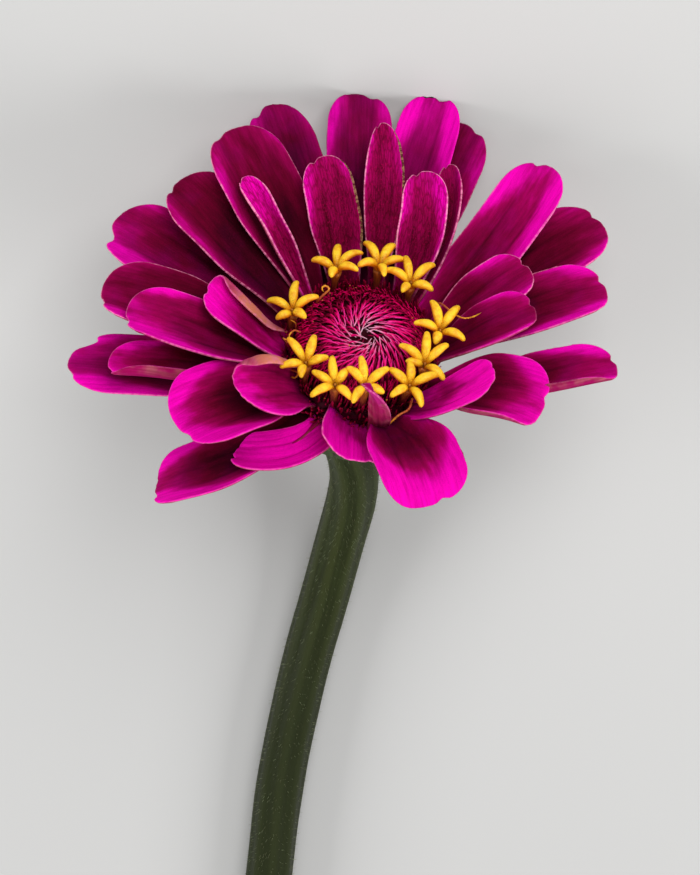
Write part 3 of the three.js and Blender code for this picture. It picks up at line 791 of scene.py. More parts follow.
O, M, I = Row.OUTER, Row.MIDDLE, Row.INNER
DRYING = Look(0.32, 0.5, -0.1, 0.8, 0.8, dried=1.0)
PETALS = (
    Petal(
        99, 32.2, 9.8, 40, -14, -20, 50, 25, O, blunt=0.15, notches=((-0.4, 0.5, 0.2),),
        look=Look(0.0, 0.72, 0.85, 0.05),
    ),
    Petal(
        81.8, 33.6, 9.4, 40, -14, -20, 50, 25, O, blunt=0.16, notches=((-0.1, 0.9, 0.2),),
        look=Look(0.14, 0.88, 0.8, 0.05),
    ),
    Petal(74, 31.1, 10, 36, -14, -10, 50, 20, O, notches=((-0.35, 0.6, 0.2),), look=Look(0.04, 0.6, 0.3, 0.35)),
    Petal(119, 32, 10, 38, -14, -20, 50, 20, O, notches=((0.45, 1.0, 0.2),), look=Look(0.0, 0.66, 0.6, 0.05)),
    Petal(131, 29.8, 12, 38, -14, -10, 60, 25, M, notches=((0.35, 0.5, 0.2),), look=Look(0.07, 0.6, -0.05, 0.7)),
    Petal(148, 27.5, 12, 34, -14, -10, 60, 30, M, look=Look(0.03, 0.6, 0.1, 0.6)),
    Petal(162, 30.7, 13, 26, -14, -14, 60, 35, O, notches=((0.3, 1.2, 0.2),), look=Look(0.17, 0.74, 0.5, 0.6)),
    Petal(182.5, 28.8, 12, 30, -14, -14, 60, 45, M, look=Look(0.02, 0.7, 0.0, 0.6)),
    Petal(197.5, 26.6, 10.2, 36, -14, -14, 65, 45, I, sweep=-18, look=Look(0.28, 0.7, 0.2, 0.3)),
    Petal(
        188.5, 17.8, 9.4, 50, -14, 0, 60, 45, I, sweep=-32, claw=0.55, folds=(115, 0), crease=(0.32, 0.72),
        look=Look(0.7, 0.3, -0.8, 0.4, faded=0.8),
    ),
    Petal(
        195.3, 30.8, 10.2, 13, -14, -5, 25, 10, O, sweep=-10, notches=((-0.75, 2.0, 0.14), (0.4, 0.5, 0.15)),
        look=Look(-0.06, 1.1, 0.6, 0.4),
    ),
    Petal(
        206, 27.4, 8, 28, -20, -10, 60, 50, M, sweep=-20, folds=(0, 75), crease=(0.3, 0.8),
        look=Look(0.14, 1.05, 0.2, 0.15),
    ),
    Petal(221.5, 22.2, 14.0, 36, -24, -25, 60, 40, M, look=Look(0.02, 1.4, 0.0, 0.15)),
    Petal(
        224, 17.4, 12, 55, -24, 0, 60, 45, I, claw=0.5, taper=0.5, roll=-30, folds=(110, 0), crease=(0.5, 0.85),
        look=Look(0.6, 0.35, -0.3, 0.2, faded=1.0),
    ),
    Petal(236, 25, 9.8, -1, -30, -12, 60, 40, O, sweep=-54, claw=0.55, look=Look(-0.06, 1.25, 0.3, 0.15)),
    Petal(254, 15.6, 7, 14, -30, -10, 48, 40, O, sweep=-92, claw=0.8, look=Look(0.95, 0.7, 0.4, 0.2)),
    Petal(277.5, 9.6, 12.3, 32, -10, -20, 45, 15, M, claw=0.85, roll=-18, look=Look(0.72, 0.7, 0.5, 0.5)),
    Petal(297.2, 20.9, 13, 46, -42, -48, 60, 30, M, look=Look(0.2, 1.3, 0.3, 0.05)),
    Petal(
        291.8, 22.2, 3.7, 61.2, 26, -40, 30, 30, O, sweep=-84.6, claw=0.7, taper=0.75, wave=0.1,
        look=Look(0.2, 0.5, 1.0, 0.3, 0.3),
    ),
    Petal(319, 22.4, 6.4, 54, 8, 0, 35, 25, M, sweep=42, claw=0.8, roll=15, look=Look(0.66, 0.6, 0.5, 0.1)),
    Petal(
        342, 20.3, 13, 42, -24, -20, 60, 40, M, folds=(25, 0), crease=(0.5, 0.95), look=Look(-0.04, 1.25, -0.1, 0.2),
    ),
    Petal(
        350, 28.5, 9, 27, 2, -20, 60, 40, O, sweep=25, claw=0.22, folds=(60, 0), crease=(0.3, 0.8),
        look=Look(0.06, 1.0, 0.3, 0.15),
    ),
    Petal(20, 27.7, 10.4, 33.8, -16, -10, 60, 40, M, look=Look(0.14, 0.8, 0.0, 0.4)),
    Petal(37, 31.8, 11.5, 32.3, -14, -14, 45, 25, O, look=Look(0.1, 0.72, -0.1, 0.6)),
    Petal(42.5, 31.5, 10, 37, -16, -10, 55, 30, M, sweep=27, claw=0.45, full=0.42, look=Look(0.36, 0.72, 0.0, 0.5)),
    Petal(28, 19.2, 9, 43, -14, -10, 60, 50, I, sweep=6, look=Look(0.34, 0.5, 0.1, 0.6)),
    Petal(9, 18.8, 8.5, 49, -14, -10, 60, 50, I, sweep=8, look=Look(0.14, 0.72, 0.1, 0.15)),
    Petal(107.5, 21.8, 8, 48, -14, 0, 50, 40, I, sweep=14, claw=0.5, roll=-15, look=DRYING),
    Petal(86, 26.6, 6.3, 50, -16, 0, 50, 40, I, sweep=22, claw=0.25, taper=0.45, roll=-10, look=DRYING),
    Petal(65, 21.5, 7.5, 49, -14, 0, 55, 50, I, sweep=41, look=Look(0.46, 0.5, -0.3, 0.9, 0.8)),
    Petal(57, 24, 4.6, 38, -12, 0, 80, 70, I, sweep=45, look=Look(0.14, 0.6, 0.1, 0.7, 0.6)),
    Petal(136.5, 22.4, 5, 43, -14, 0, 90, 80, I, look=Look(0.52, 0.5, -0.4, 0.8, 0.8)),
)


@dataclass
class RayPetals:
    """The ray petals and the hub that they grow from.

    Attributes:
        petals: Every petal.
        hub_radius: Where they are rooted.
        hub_half: Half the hub's height.
    """

    petals: tuple[Petal, ...] = PETALS
    hub_radius: float = 10.0
    hub_half: float = 2.6

    def build(self) -> list[bpy.types.Object]:
        """Make every petal and the hub."""
        velvet = PetalFinish().material()
        made = [self.hub()]
        for number, petal in enumerate(self.petals, 1):
            skin = petal.skin(number)
            piece = skin.object(f"petal_{number:02d}", velvet)
            press_flat(piece)
            made.append(piece)
        return made

    def hub(self) -> bpy.types.Object:
        """Make the receptacle between the petals' roots, hidden from most sides."""
        out, half = self.hub_radius, self.hub_half
        profile = np.array([
            [0.02, -half], [out - 1.0, -half], [out - 0.2, 0.3 - half], [out, 0.0], [out - 0.4, half],
            [out - 1.2, half + 0.2], [0.02, half + 0.2],
        ])
        finish = ChaffFinish("receptacle", (0.03, 0.002, 0.004), (0.06, 0.0, 0.012), (0.08, 0.0, 0.016))
        return lathe_skin(profile, 72).object("petal_hub", finish.material())


def lathe_skin(profile: np.ndarray, sides: int) -> Skin:
    """Turn a profile of radius and height round the head's axis.

    Args:
        profile: Radius and height from the bottom middle, round the outside, to the top middle.
        sides: Steps round the axis.

    Returns:
        The closed turned body, with grain and along traits.
    """
    angle, out = round_angles(sides), profile[:, :1]
    rings = np.stack([out * np.cos(angle), out * np.sin(angle), np.repeat(profile[:, 1:], sides, 1)], -1)
    along = np.linspace(0.0, 1.0, len(profile))
    return tube_skin(rings, {"grain": rings, "along": each_side(along, sides)})


@dataclass(frozen=True)
class ChaffFinish:
    """Papery fringes, dark at the foot and paler at the tip.

    Attributes:
        name: The material's name.
        foot: Colour at the foot.
        middle: Colour half way.
        tip: Colour at the tip.
        pale: How white the painted highlights on the tips near the middle of the disc are.
        white: Colour of those painted highlights.
        speck: Colour that the specks are multiplied by.
    """

    name: str
    foot: Colour
    middle: Colour
    tip: Colour
    pale: float = 0.0
    white: Colour = (1.0, 0.72, 0.85)
    speck: Colour = (0.5, 0.1, 0.2)

    def material(self) -> bpy.types.Material:
        """Build the finish."""
        s = Shader(self.name)
        along = s.trait("along")
        speck = s.noise(s.place(), 900.0, 2.0)
        face = s.blend(s.span(along, 0.05, 0.5), self.foot, self.middle)
        face = s.blend(s.span(along, 0.5, 0.95), face, self.tip)
        # Painted highlights on the tips near the middle of the disc.
        if self.pale:
            near = s.span(s.trait("share"), 0.35, 0.75, self.pale, 0.0)
            near = s.calc("MULTIPLY", near, s.span(along, 0.55, 0.95))
            face = s.blend(near, face, self.white)
        s.colour(s.blend(s.span(speck, 0.35, 0.65, 0.35, 0.0), face, self.speck, "MULTIPLY"))
        s.bump(s.noise(s.place(), 4000.0, 2.0), 0.4, 0.00008)
        s.gloss(Roughness=0.45, Specular_IOR_Level=0.1)
        return s.material


class Tree(Nodes):
    """A Geometry Nodes tree with named inputs."""

    def __init__(self, name: str, inputs: dict[str, tuple[str, object]]) -> None:
        """Start a tree.

        Args:
            name: The tree's name.
            inputs: Socket kind and first value of each named input.
        """
        super().__init__(bpy.data.node_groups.new(name, "GeometryNodeTree"))
        sockets = self.tree.interface
        for way in ("INPUT", "OUTPUT"):
            sockets.new_socket("Geometry", in_out=way, socket_type="NodeSocketGeometry")
        for label, (kind, value) in inputs.items():
            made = sockets.new_socket(label, in_out="INPUT", socket_type=f"NodeSocket{kind}")
            if value is not None:
                made.default_value = value
        self.start = self.tree.nodes.new("NodeGroupInput")
        self.end = self.tree.nodes.new("NodeGroupOutput")

    def given(self, name: str) -> Socket:
        """Return a named input."""
        return self.start.outputs[name]

    def between(self, first: Socket, last: Socket, share: Socket) -> Socket:
        """Return the number at a share of the way from first to last."""
        return self.calc("ADD", first, self.calc("MULTIPLY", share, self.calc("SUBTRACT", last, first)))

    def dice(self, low: Socket, high: Socket, seed: Socket) -> Socket:
        """Return a random number for each element."""
        made = self.node("FunctionNodeRandomValue", {"Seed": seed}, data_type="FLOAT")
        floats = [socket for socket in made.inputs if socket.enabled and socket.type == "VALUE"]
        for socket, value in zip(floats, (low, high)):
            self.feed(socket, value)
        return next(socket for socket in made.outputs if socket.enabled)

    def spread(self, reach: Socket, seed: Socket) -> Socket:
        """Return a random number from -reach to reach for each element."""
        return self.dice(self.calc("MULTIPLY", reach, -1.0), reach, seed)

    def vector(self, x: object, y: object, z: object) -> Socket:
        """Return three numbers as a vector."""
        return self.node("ShaderNodeCombineXYZ", {0: x, 1: y, 2: z}).outputs[0]

    def repeat(self, points: Socket, turn: Socket, size: Socket) -> Socket:
        """Return the Pattern input's object, repeated at points."""
        source = self.node("GeometryNodeObjectInfo", {"Object": self.given("Pattern")}).outputs["Geometry"]
        values = {"Points": points, "Instance": source, "Rotation": turn, "Scale": size}
        return self.node("GeometryNodeInstanceOnPoints", values).outputs[0]

    def finish(self, geometry: Socket) -> None:
        """End the tree: instances made real, then the material set."""
        real = self.node("GeometryNodeRealizeInstances", {"Geometry": geometry}).outputs[0]
        coated = self.node("GeometryNodeSetMaterial", {"Geometry": real, "Material": self.given("Finish")})
        self.feed(self.end.inputs[0], coated.outputs[0])

    def grow(self, name: str, base: bpy.types.Mesh, values: dict[str, object], place: Matrix) -> bpy.types.Object:
        """Run the tree over a mesh and keep the result as a plain piece.

        Args:
            name: The piece's name.
            base: The mesh that the tree starts from.
            values: Named inputs.
            place: Applied to the result.

        Returns:
            The piece, with no modifier left.
        """
        carrier = linked(f"{name}_carrier", base)
        modifier = carrier.modifiers.new("grow", "NODES")
        modifier.node_group = self.tree
        for item in self.tree.interface.items_tree:
            if item.in_out == "INPUT" and item.name in values:
                modifier[item.identifier] = values[item.name]
        graph = bpy.context.evaluated_depsgraph_get()
        grown = carrier.evaluated_get(graph)
        mesh = bpy.data.meshes.new_from_object(grown, preserve_all_data_layers=True, depsgraph=graph)
        carrier.modifiers.clear()
        bpy.data.objects.remove(carrier)
        mesh.name = name
        mesh.transform(place)
        mesh.shade_smooth()
        return linked(name, mesh)


def scatter_tree(name: str) -> Tree:
    """Build a tree that scatters a pattern over a mesh, standing on its faces."""
    tree = Tree(name, {
        "Pattern": ("Object", None), "Finish": ("Material", None), "Density": ("Float", 1e6),
        "Least": ("Float", 0.6), "Most": ("Float", 1.3), "Seed": ("Int", 5),
    })
    seed = tree.given("Seed")
    values = {"Mesh": tree.given("Geometry"), "Density": tree.given("Density"), "Seed": seed}
    laid = tree.node("GeometryNodeDistributePointsOnFaces", values)
    size = tree.dice(tree.given("Least"), tree.given("Most"), seed)
    tree.finish(tree.repeat(laid.outputs["Points"], laid.outputs["Rotation"], size))
    return tree


def scatter(
    tree: Tree, name: str, piece: bpy.types.Object, count: int, values: dict[str, object],
) -> bpy.types.Object:
    """Scatter a pattern over a piece that stands in its place.

    Args:
        tree: The scattering tree.
        name: The new piece's name.
        piece: What it is scattered over.
        count: About how many times.
        values: The tree's other inputs.

    Returns:
        The new piece.
    """
    area = sum(face.area for face in piece.data.polygons)
    return tree.grow(name, piece.data.copy(), {"Density": count / area, **values}, Matrix.Identity(4))


@dataclass(frozen=True)
class Bristle:
    """One papery fringe, lying towards -x and curling up, in head millimetres.

    Attributes:
        long: Length.
        wide: Width at its foot.
        arch: How far its middle stands above its chord.
        hook: How far its tip turns aside.
    """

    long: float
    wide: float
    arch: float
    hook: float

    def pattern(self, name: str) -> bpy.types.Object:
        """Make the fringe as an unlinked pattern, for the spiral to repeat."""
        t = np.linspace(0.0, 1.0, 8)
        path = np.stack([-t * self.long, self.hook * t**2, self.arch * np.sin(math.pi * 0.85 * t)], 1)
        wide = self.wide / 2.0 * (1.0 - 0.65 * t**2)
        corners = ((1.0, 0.0), (0.0, 0.9), (-1.0, 0.0), (0.0, -0.5))
        rings = np.stack([path + np.stack([0.0 * t, y * wide, z * wide], 1) for y, z in corners], 1)
        return tube_skin(rings, {"along": each_side(t, len(corners))}).pattern(name)


# Height of the chaff's dome at its brow, and how much lower its rim is.
DOME_TOP, DOME_DROP = 8.4, 1.5


@dataclass(frozen=True)
class ChaffSet:
    """One set of fringes on the spiral, with lengths in millimetres and angles in radians.

    Attributes:
        name: The piece's name.
        bristle: The fringe that is repeated.
        finish: Its finish.
        count: How many there are.
        ring: Radii between which they stand.
        lean: How far they lean at those radii.
        swirl: How far they turn from the radius.
        spread: How much the lean and the swirl vary.
        seed: Picks the variation.
        lift: How far their feet stand over the dome.
        brow: Height of the dome's brow under them.
        drop: How much lower its rim is.
        size: Least and greatest size.
        aside: How far their middle lies from the head's axis.
    """

    name: str
    bristle: Bristle
    finish: ChaffFinish
    count: int
    ring: tuple[float, float]
    lean: tuple[float, float]
    swirl: float
    spread: tuple[float, float]
    seed: int
    lift: float = 0.0
    brow: float = DOME_TOP
    drop: float = DOME_DROP
    size: tuple[float, float] = (0.8, 1.2)
    aside: tuple[float, float] = (0.0, 0.0)

    def inputs(self) -> dict[str, object]:
        """Return the spiral's inputs by their names."""
        return {
            "Count": self.count, "Inner Radius": self.ring[0] * MM, "Outer Radius": self.ring[1] * MM,
            "Brow": self.brow * MM, "Drop": self.drop * MM, "Lift": self.lift * MM,
            "Lean In": self.lean[0], "Lean Out": self.lean[1], "Lean Spread": self.spread[0],
            "Swirl": self.swirl, "Swirl Spread": self.spread[1],
            "Least": self.size[0], "Most": self.size[1], "Seed": self.seed,
        }


PINK = ChaffFinish("chaff_pink", (0.1, 0.0, 0.014), (0.86, 0.0, 0.17), (1.0, 0.04, 0.42), 0.9)
# Real chaff under the crown, coloured dark as painted shade between the crown's strands.
SHADED_BED = ChaffFinish("chaff_deep", (0.03, 0.0, 0.004), (0.17, 0.0, 0.018), (0.42, 0.0, 0.07))
RING = ChaffFinish("chaff_ring", (0.1, 0.0, 0.01), (0.52, 0.0, 0.052), (0.95, 0.0, 0.17))
DARK = ChaffFinish("chaff_dark", (0.03, 0.0, 0.004), (0.15, 0.0, 0.016), (0.34, 0.0, 0.04))
CHAFF = (
    ChaffSet(
        "chaff_crown", Bristle(2.9, 0.46, 0.6, 1.3), PINK, 165, (2.35, 7.6), (0.24, 0.36), 0.12, (0.1, 0.14), 4,
        lift=-0.55, size=(0.85, 1.1), aside=(0.7, -0.65),
    ),
    # The bed, coloured as painted shade under the crown.
    ChaffSet(
        "chaff_bed", Bristle(2.2, 0.3, 0.45, 0.5), SHADED_BED, 420, (2.6, 8.6), (0.3, 0.7), 0.1, (0.2, 0.5), 7,
        lift=-1.0,
    ),
    ChaffSet(
        "chaff_brush", Bristle(1.7, 0.27, 0.2, 0.5), RING, 780, (7.0, 9.1), (0.8, 1.3), 0.3, (0.3, 0.7), 11,
        lift=-1.1,
    ),
    ChaffSet(
        "chaff_skirt", Bristle(2.2, 0.4, 0.3, 0.15), DARK, 460, (8.9, 10.2), (1.2, 1.9), 0.0, (0.35, 0.5), 19,
        lift=-0.4, drop=2.2,
    ),
    ChaffSet(
        "chaff_fringe", Bristle(2.0, 0.45, 0.3, 0.1), DARK, 420, (9.75, 10.1), (1.9, 2.3), 0.0, (0.3, 0.5), 23,
        brow=31.0, drop=16.8,
    ),
)


@dataclass
class ChaffDisc:
    """The domed middle: a fleshy core under spirals of fringed chaff.

    Attributes:
        radius: The dome's radius.
        dimple: Depth of the dent in its middle.
        dimple_wide: Radius of that dent.
        flesh: How far the core lies under the chaff's dome.
        wall: Radius and height of the core's foot and side, from the middle outwards and up.
        sets: The sets of fringes.
    """

    radius: float = 8.6
    dimple: float = 0.5
    dimple_wide: float = 1.6
    flesh: float = 0.75
    wall: tuple[tuple[float, float], ...] = ((0.02, 2.9), (9.1, 2.9), (9.35, 3.4), (9.2, 4.6), (8.95, 5.6))
    sets: tuple[ChaffSet, ...] = CHAFF

    def dome(self, radius: np.ndarray) -> np.ndarray:
        """Return the dome's height at a radius."""
        share = radius / self.radius
        return DOME_TOP - DOME_DROP * share**4 - self.dimple * np.exp(-((radius / self.dimple_wide) ** 2))

    def core(self) -> bpy.types.Object:
        """Make the fleshy core under the chaff, coloured near black as painted shade in the gaps."""
        out = np.linspace(self.radius, 0.02, 18)
        profile = np.concatenate([self.wall, np.stack([out, self.dome(out) - self.flesh], 1)])
        # Near black: painted shade where the core shows between the fringes.
        finish = ChaffFinish("disc_flesh", (0.02, 0.0, 0.003), (0.035, 0.0, 0.004), (0.05, 0.0, 0.006))
        return lathe_skin(profile, 96).object("disc_core", finish.material())

    def spiral(self) -> Tree:
        """Build the tree that lays fringes on the dome along a golden-angle spiral."""
        tree = Tree("chaff_spiral", {
            "Pattern": ("Object", None), "Finish": ("Material", None), "Count": ("Int", 400),
            "Inner Radius": ("Float", 0.001), "Outer Radius": ("Float", 0.008),
            "Brow": ("Float", DOME_TOP * MM), "Drop": ("Float", DOME_DROP * MM), "Lift": ("Float", 0.0),
            "Lean In": ("Float", 0.2), "Lean Out": ("Float", 0.6), "Lean Spread": ("Float", 0.2),
            "Swirl": ("Float", 0.5), "Swirl Spread": ("Float", 0.15),
            "Least": ("Float", 0.8), "Most": ("Float", 1.2), "Seed": ("Int", 1),
        })
        given, calc = tree.given, tree.calc
        seed = given("Seed")
        index = tree.node("GeometryNodeInputIndex").outputs[0]
        share = calc("SQRT", calc("DIVIDE", calc("ADD", index, 0.5), given("Count")))
        radius = tree.between(given("Inner Radius"), given("Outer Radius"), share)
        angle = calc("MULTIPLY", index, GOLDEN_ANGLE)
        rim = calc("DIVIDE", radius, self.radius * MM)
        fall = calc("MULTIPLY", calc("POWER", rim, 4.0), given("Drop"))
        height = calc("ADD", calc("SUBTRACT", given("Brow"), fall), given("Lift"))
        x, y = (calc("MULTIPLY", radius, calc(part, angle)) for part in ("COSINE", "SINE"))
        line = tree.node("GeometryNodeMeshLine", {"Count": given("Count")}).outputs[0]
        laid = tree.node("GeometryNodeSetPosition", {"Geometry": line, "Position": tree.vector(x, y, height)})
        lean = tree.between(given("Lean In"), given("Lean Out"), share)
        lean = calc("ADD", lean, tree.spread(given("Lean Spread"), seed))
        swing = tree.spread(given("Swirl Spread"), calc("ADD", seed, 7.0))
        turn = calc("ADD", calc("ADD", angle, given("Swirl")), swing)
        size = tree.dice(given("Least"), given("Most"), calc("ADD", seed, 3.0))
        repeated = tree.repeat(laid.outputs[0], tree.vector(0.0, lean, turn), size)
        values = {"Geometry": repeated, "Name": "share", "Value": rim}
        stored = tree.node("GeometryNodeStoreNamedAttribute", values, data_type="FLOAT", domain="INSTANCE")
        tree.finish(stored.outputs[0])
        return tree

    def build(self) -> list[bpy.types.Object]:
        """Make the core, the swirling crown, the dark brush round it and the skirt at its foot."""
        spiral = self.spiral()
        coats = {finish: finish.material() for finish in (PINK, SHADED_BED, RING, DARK)}
        made = [self.core()]
        for chaff in self.sets:
            pattern = chaff.bristle.pattern(f"{chaff.name}_pattern")
            base = bpy.data.meshes.new(f"{chaff.name}_base")
            place = HEAD.matrix() @ Matrix.Translation(Vector((*chaff.aside, 0.0)) * MM)
            values = {"Pattern": pattern, "Finish": coats[chaff.finish], **chaff.inputs()}
            made.append(spiral.grow(chaff.name, base, values, place))
            bpy.data.objects.remove(pattern)
        return made


@dataclass(frozen=True)
class Floret:
    """One open disc floret.

    Attributes:
        az: Azimuth round the head, in degrees.
        ring: Distance of its throat from the head's axis.
        height: Height of its throat.
        lean: How far its face leans outwards, in degrees.
        lobes: Direction about its own axis, in degrees, and spread of each lobe.
        root: Distance of the lobes' roots from that axis.
        sunk: How far they start below the throat.
        thick: Half a lobe's greatest width.
        slopes: A lobe's slope at its root, near its crest and at its tip, in degrees.
        tube_radius: Radius of the tube's lower part.
        tube_flare: How much it widens into the throat.
        anther_radius: Radius of the anthers at their foot.
        anther_long: Their length.
    """

    az: float
    ring: float
    height: float
    lean: float
    lobes: tuple[tuple[float, float], ...]
    root: float = 0.34
    sunk: float = 0.35
    thick: float = 0.67
    slopes: tuple[float, float, float] = (78.0, 25.0, -45.0)
    tube_radius: float = 0.46
    tube_flare: float = 0.3
    anther_radius: float = 0.27
    anther_long: float = 1.15

    def placed(self, points: np.ndarray) -> np.ndarray:
        """Move points from the floret's own frame, z out of its throat, into the head's."""
        lean, az = math.radians(self.lean), math.radians(self.az)
        tilt = np.array([[math.cos(lean), 0, -math.sin(lean)], [0, 1, 0], [math.sin(lean), 0, math.cos(lean)]])
        turn = np.array([[math.cos(az), math.sin(az), 0], [-math.sin(az), math.cos(az), 0], [0, 0, 1]])
        return (points @ tilt + np.array([self.ring, 0.0, self.height])) @ turn

    def lobe(self, angle: float, spread: float, seed: int) -> Skin:
        """Build one finger-like lobe that rises from the throat, arches over and droops.

        Args:
            angle: Its direction about the floret's axis, in radians.
            spread: How far its tip stands from the axis.
            seed: Picks its unevenness.

        Returns:
            The closed lobe in the head's frame.
        """
        dice = np.random.default_rng(seed)
        steps, sides = 24, 18
        t = np.linspace(0.0, 1.0, steps)
        slope = np.radians(np.interp(t, (0.0, 0.45, 1.0), self.slopes))
        ahead, climb = (
            np.concatenate([[0.0], np.cumsum((part[1:] + part[:-1]) / 2.0)])
            for part in (np.cos(slope), np.sin(slope))
        )
        stride = (spread - self.root) / ahead[-1]
        left = stride * (steps - 1) * (1.0 - t) / self.thick
        full = np.sqrt(1.0 - (1.0 - np.clip(left, 0.0, 1.0)) ** 2) * mix(0.5, 1.0, smooth(t, 0.0, 0.5))
        full = np.maximum(full * (1.0 - 0.4 * smooth(t, 0.5, 1.0)), 0.03) * dice.uniform(0.94, 1.06)
        spin = round_angles(sides)
        across = np.cos(spin)[None, :] * (self.thick * full)[:, None]
        rise = np.sin(spin)[None, :] * (0.86 * self.thick * full)[:, None]
        x = (self.root + ahead * stride)[:, None] - np.sin(slope)[:, None] * rise
        z = (climb * stride - self.sunk)[:, None] + np.cos(slope)[:, None] * rise
        y = across + dice.uniform(-0.2, 0.2) * np.sin(math.pi * t)[:, None]
        cos, sin = math.cos(angle), math.sin(angle)
        points = np.stack([x * cos - y * sin, x * sin + y * cos, z], -1)
        traits = {
            "along": each_side(t, sides),
            "grain": np.stack([across, each_side(t * stride * steps, sides), rise + seed], -1),
            # 1 on the lobe's upper side, where the finish paints light, and 0 underneath, where it paints shade.
            "crest": np.repeat(0.5 + 0.5 * np.sin(spin)[None, :], steps, 0),
        }
        return tube_skin(self.placed(points), traits)

    def tube(self, foot: tuple[float, float]) -> Skin:
        """Build the narrow ribbed tube from the foot up to the throat.

        Args:
            foot: Radius and height in the head's frame where it starts.

        Returns:
            The closed tube in the head's frame.
        """
        steps, sides = 16, 20
        t = np.linspace(0.0, 1.0, steps)
        az = math.radians(self.az)
        end = self.placed(np.array([[0.0, 0.0, -self.sunk]]))[0]
        start = np.array([math.cos(az) * foot[0], math.sin(az) * foot[0], foot[1]])
        path = start + (end - start) * t[:, None]
        path += np.array([math.cos(az), math.sin(az), 0.0]) * (0.35 * np.sin(math.pi * t))[:, None]
        ribs = 1.0 + 0.07 * np.cos(5.0 * round_angles(sides))
        radius = (self.tube_radius + self.tube_flare * smooth(t, 0.55, 1.0))[:, None] * ribs[None, :]
        rings = sweep_rings(path, radius, sides)
        return tube_skin(rings, {"along": each_side(t, sides), "grain": rings})

    def anther(self) -> Skin:
        """Build the dark anther tube that stands in the throat."""
        sides = 10
        t = np.linspace(0.0, 1.0, 8)
        path = np.stack([0.05 * np.sin(3 * t), 0 * t, -0.5 + self.anther_long * t], 1)
        rings = sweep_rings(self.placed(path), self.anther_radius - 0.12 * t**3, sides)
        return tube_skin(rings, {"along": each_side(t, sides), "grain": rings})


FLORETS = (
    Floret(118.7, 10.4, 9.5, 20, ((48, 3.6), (144, 2.6), (221, 3.5), (278, 4.4), (333, 4.3))),
    Floret(85.4, 10.7, 9.6, 20, ((40, 4.5), (129, 3.6), (200, 3.3), (296, 3.8), (343, 4.6))),
    Floret(57.3, 10.2, 9.4, 10, ((51, 4.4), (111, 4.0), (187, 2.4), (287, 3.3), (355, 4.7))),
    Floret(7.3, 10.5, 9.4, 10, ((57, 4.7), (108, 4.5), (178, 3.9), (253, 2.6), (338, 3.7))),
    Floret(333.1, 10.1, 9.4, 10, ((79, 4.4), (123, 4.6), (186, 4.3), (216, 2.7), (352, 3.6))),
    Floret(311.5, 11.2, 9.2, 10, ((80, 4.3), (149, 3.5), (202, 3.6), (275, 3.5), (352, 3.7))),
    Floret(278.8, 9.8, 9.5, 10, ((65, 2.8), (127, 4.0), (189, 4.1), (228, 3.5), (328, 3.4))),
    Floret(256.1, 10.5, 9.3, 10, ((65, 3.3), (165, 2.8), (208, 4.0), (263, 3.6), (324, 4.0))),
    Floret(227.3, 10.2, 9.4, 10, ((35, 2.4), (151, 3.2), (213, 4.1), (265, 4.3), (334, 3.6))),
    Floret(175.2, 9.9, 9.4, 20, ((41, 2.6), (148, 2.8), (209, 4.1), (272, 4.5), (344, 4.0))),
)


@dataclass(frozen=True)
class LobeFinish:
    """Velvety golden yellow in painted light on top, orange in painted shade on the flanks and towards the root, and
    brown specked towards the throat.

    Attributes:
        crest: Colour of the upper side, in painted light.
        flank: Colour of the sides, in painted shade.
        throat: Colour at the root, in painted shade.
        speck: Colour of the specks.
    """

    crest: Colour = (1.0, 0.63, 0.02)
    flank: Colour = (0.74, 0.19, 0.0)
    throat: Colour = (0.45, 0.1, 0.0)
    speck: Colour = (0.16, 0.03, 0.0)

    def material(self) -> bpy.types.Material:
        """Build the finish."""
        s = Shader("floret_lobe")
        along = s.trait("along")
        grain = s.vector("grain")
        # Painted light on the lobe's upper side and painted shade on its flanks.
        face = s.blend(s.span(s.trait("crest"), 0.4, 1.0), self.flank, self.crest)
        # Painted shade towards the root.
        face = s.blend(s.span(along, 0.05, 0.4, 1.0, 0.0), face, self.throat)
        face = s.blend(s.span(s.noise(grain, 1.4, 2.0), 0.4, 0.7, 0.0, 0.5), face, self.flank)
        nap = s.noise(grain, 6.0, 2.0)
        speckle = s.calc("MULTIPLY", s.span(nap, 0.53, 0.65), s.span(along, 0.05, 0.55, 0.85, 0.0))
        s.colour(s.blend(speckle, face, self.speck))
        s.bump(nap, 0.7, 0.00012)
        s.gloss(Roughness=0.4, Specular_IOR_Level=0.3)
        return s.material


@dataclass(frozen=True)
class TubeFinish:
    """One colour going into another along a tube, streaked lengthwise.

    Attributes:
        name: The material's name.
        foot: Colour at the foot.
        head: Colour at the upper end.
        streak: Colour that the streaks are multiplied by.
    """

    name: str
    foot: Colour
    head: Colour
    streak: Colour = (0.35, 0.2, 0.15)

    def material(self) -> bpy.types.Material:
        """Build the finish."""
        s = Shader(self.name)
        streak = s.noise(s.scaled(s.vector("grain"), (3.0, 3.0, 0.6)), 1.0, 3.0)
        face = s.blend(s.span(s.trait("along"), 0.35, 1.0), self.foot, self.head)
        s.colour(s.blend(s.span(streak, 0.4, 0.65, 0.6, 0.0), face, self.streak, "MULTIPLY"))
        s.bump(streak, 0.5, 0.0001)
        s.gloss(Roughness=0.55, Specular_IOR_Level=0.3)
        return s.material


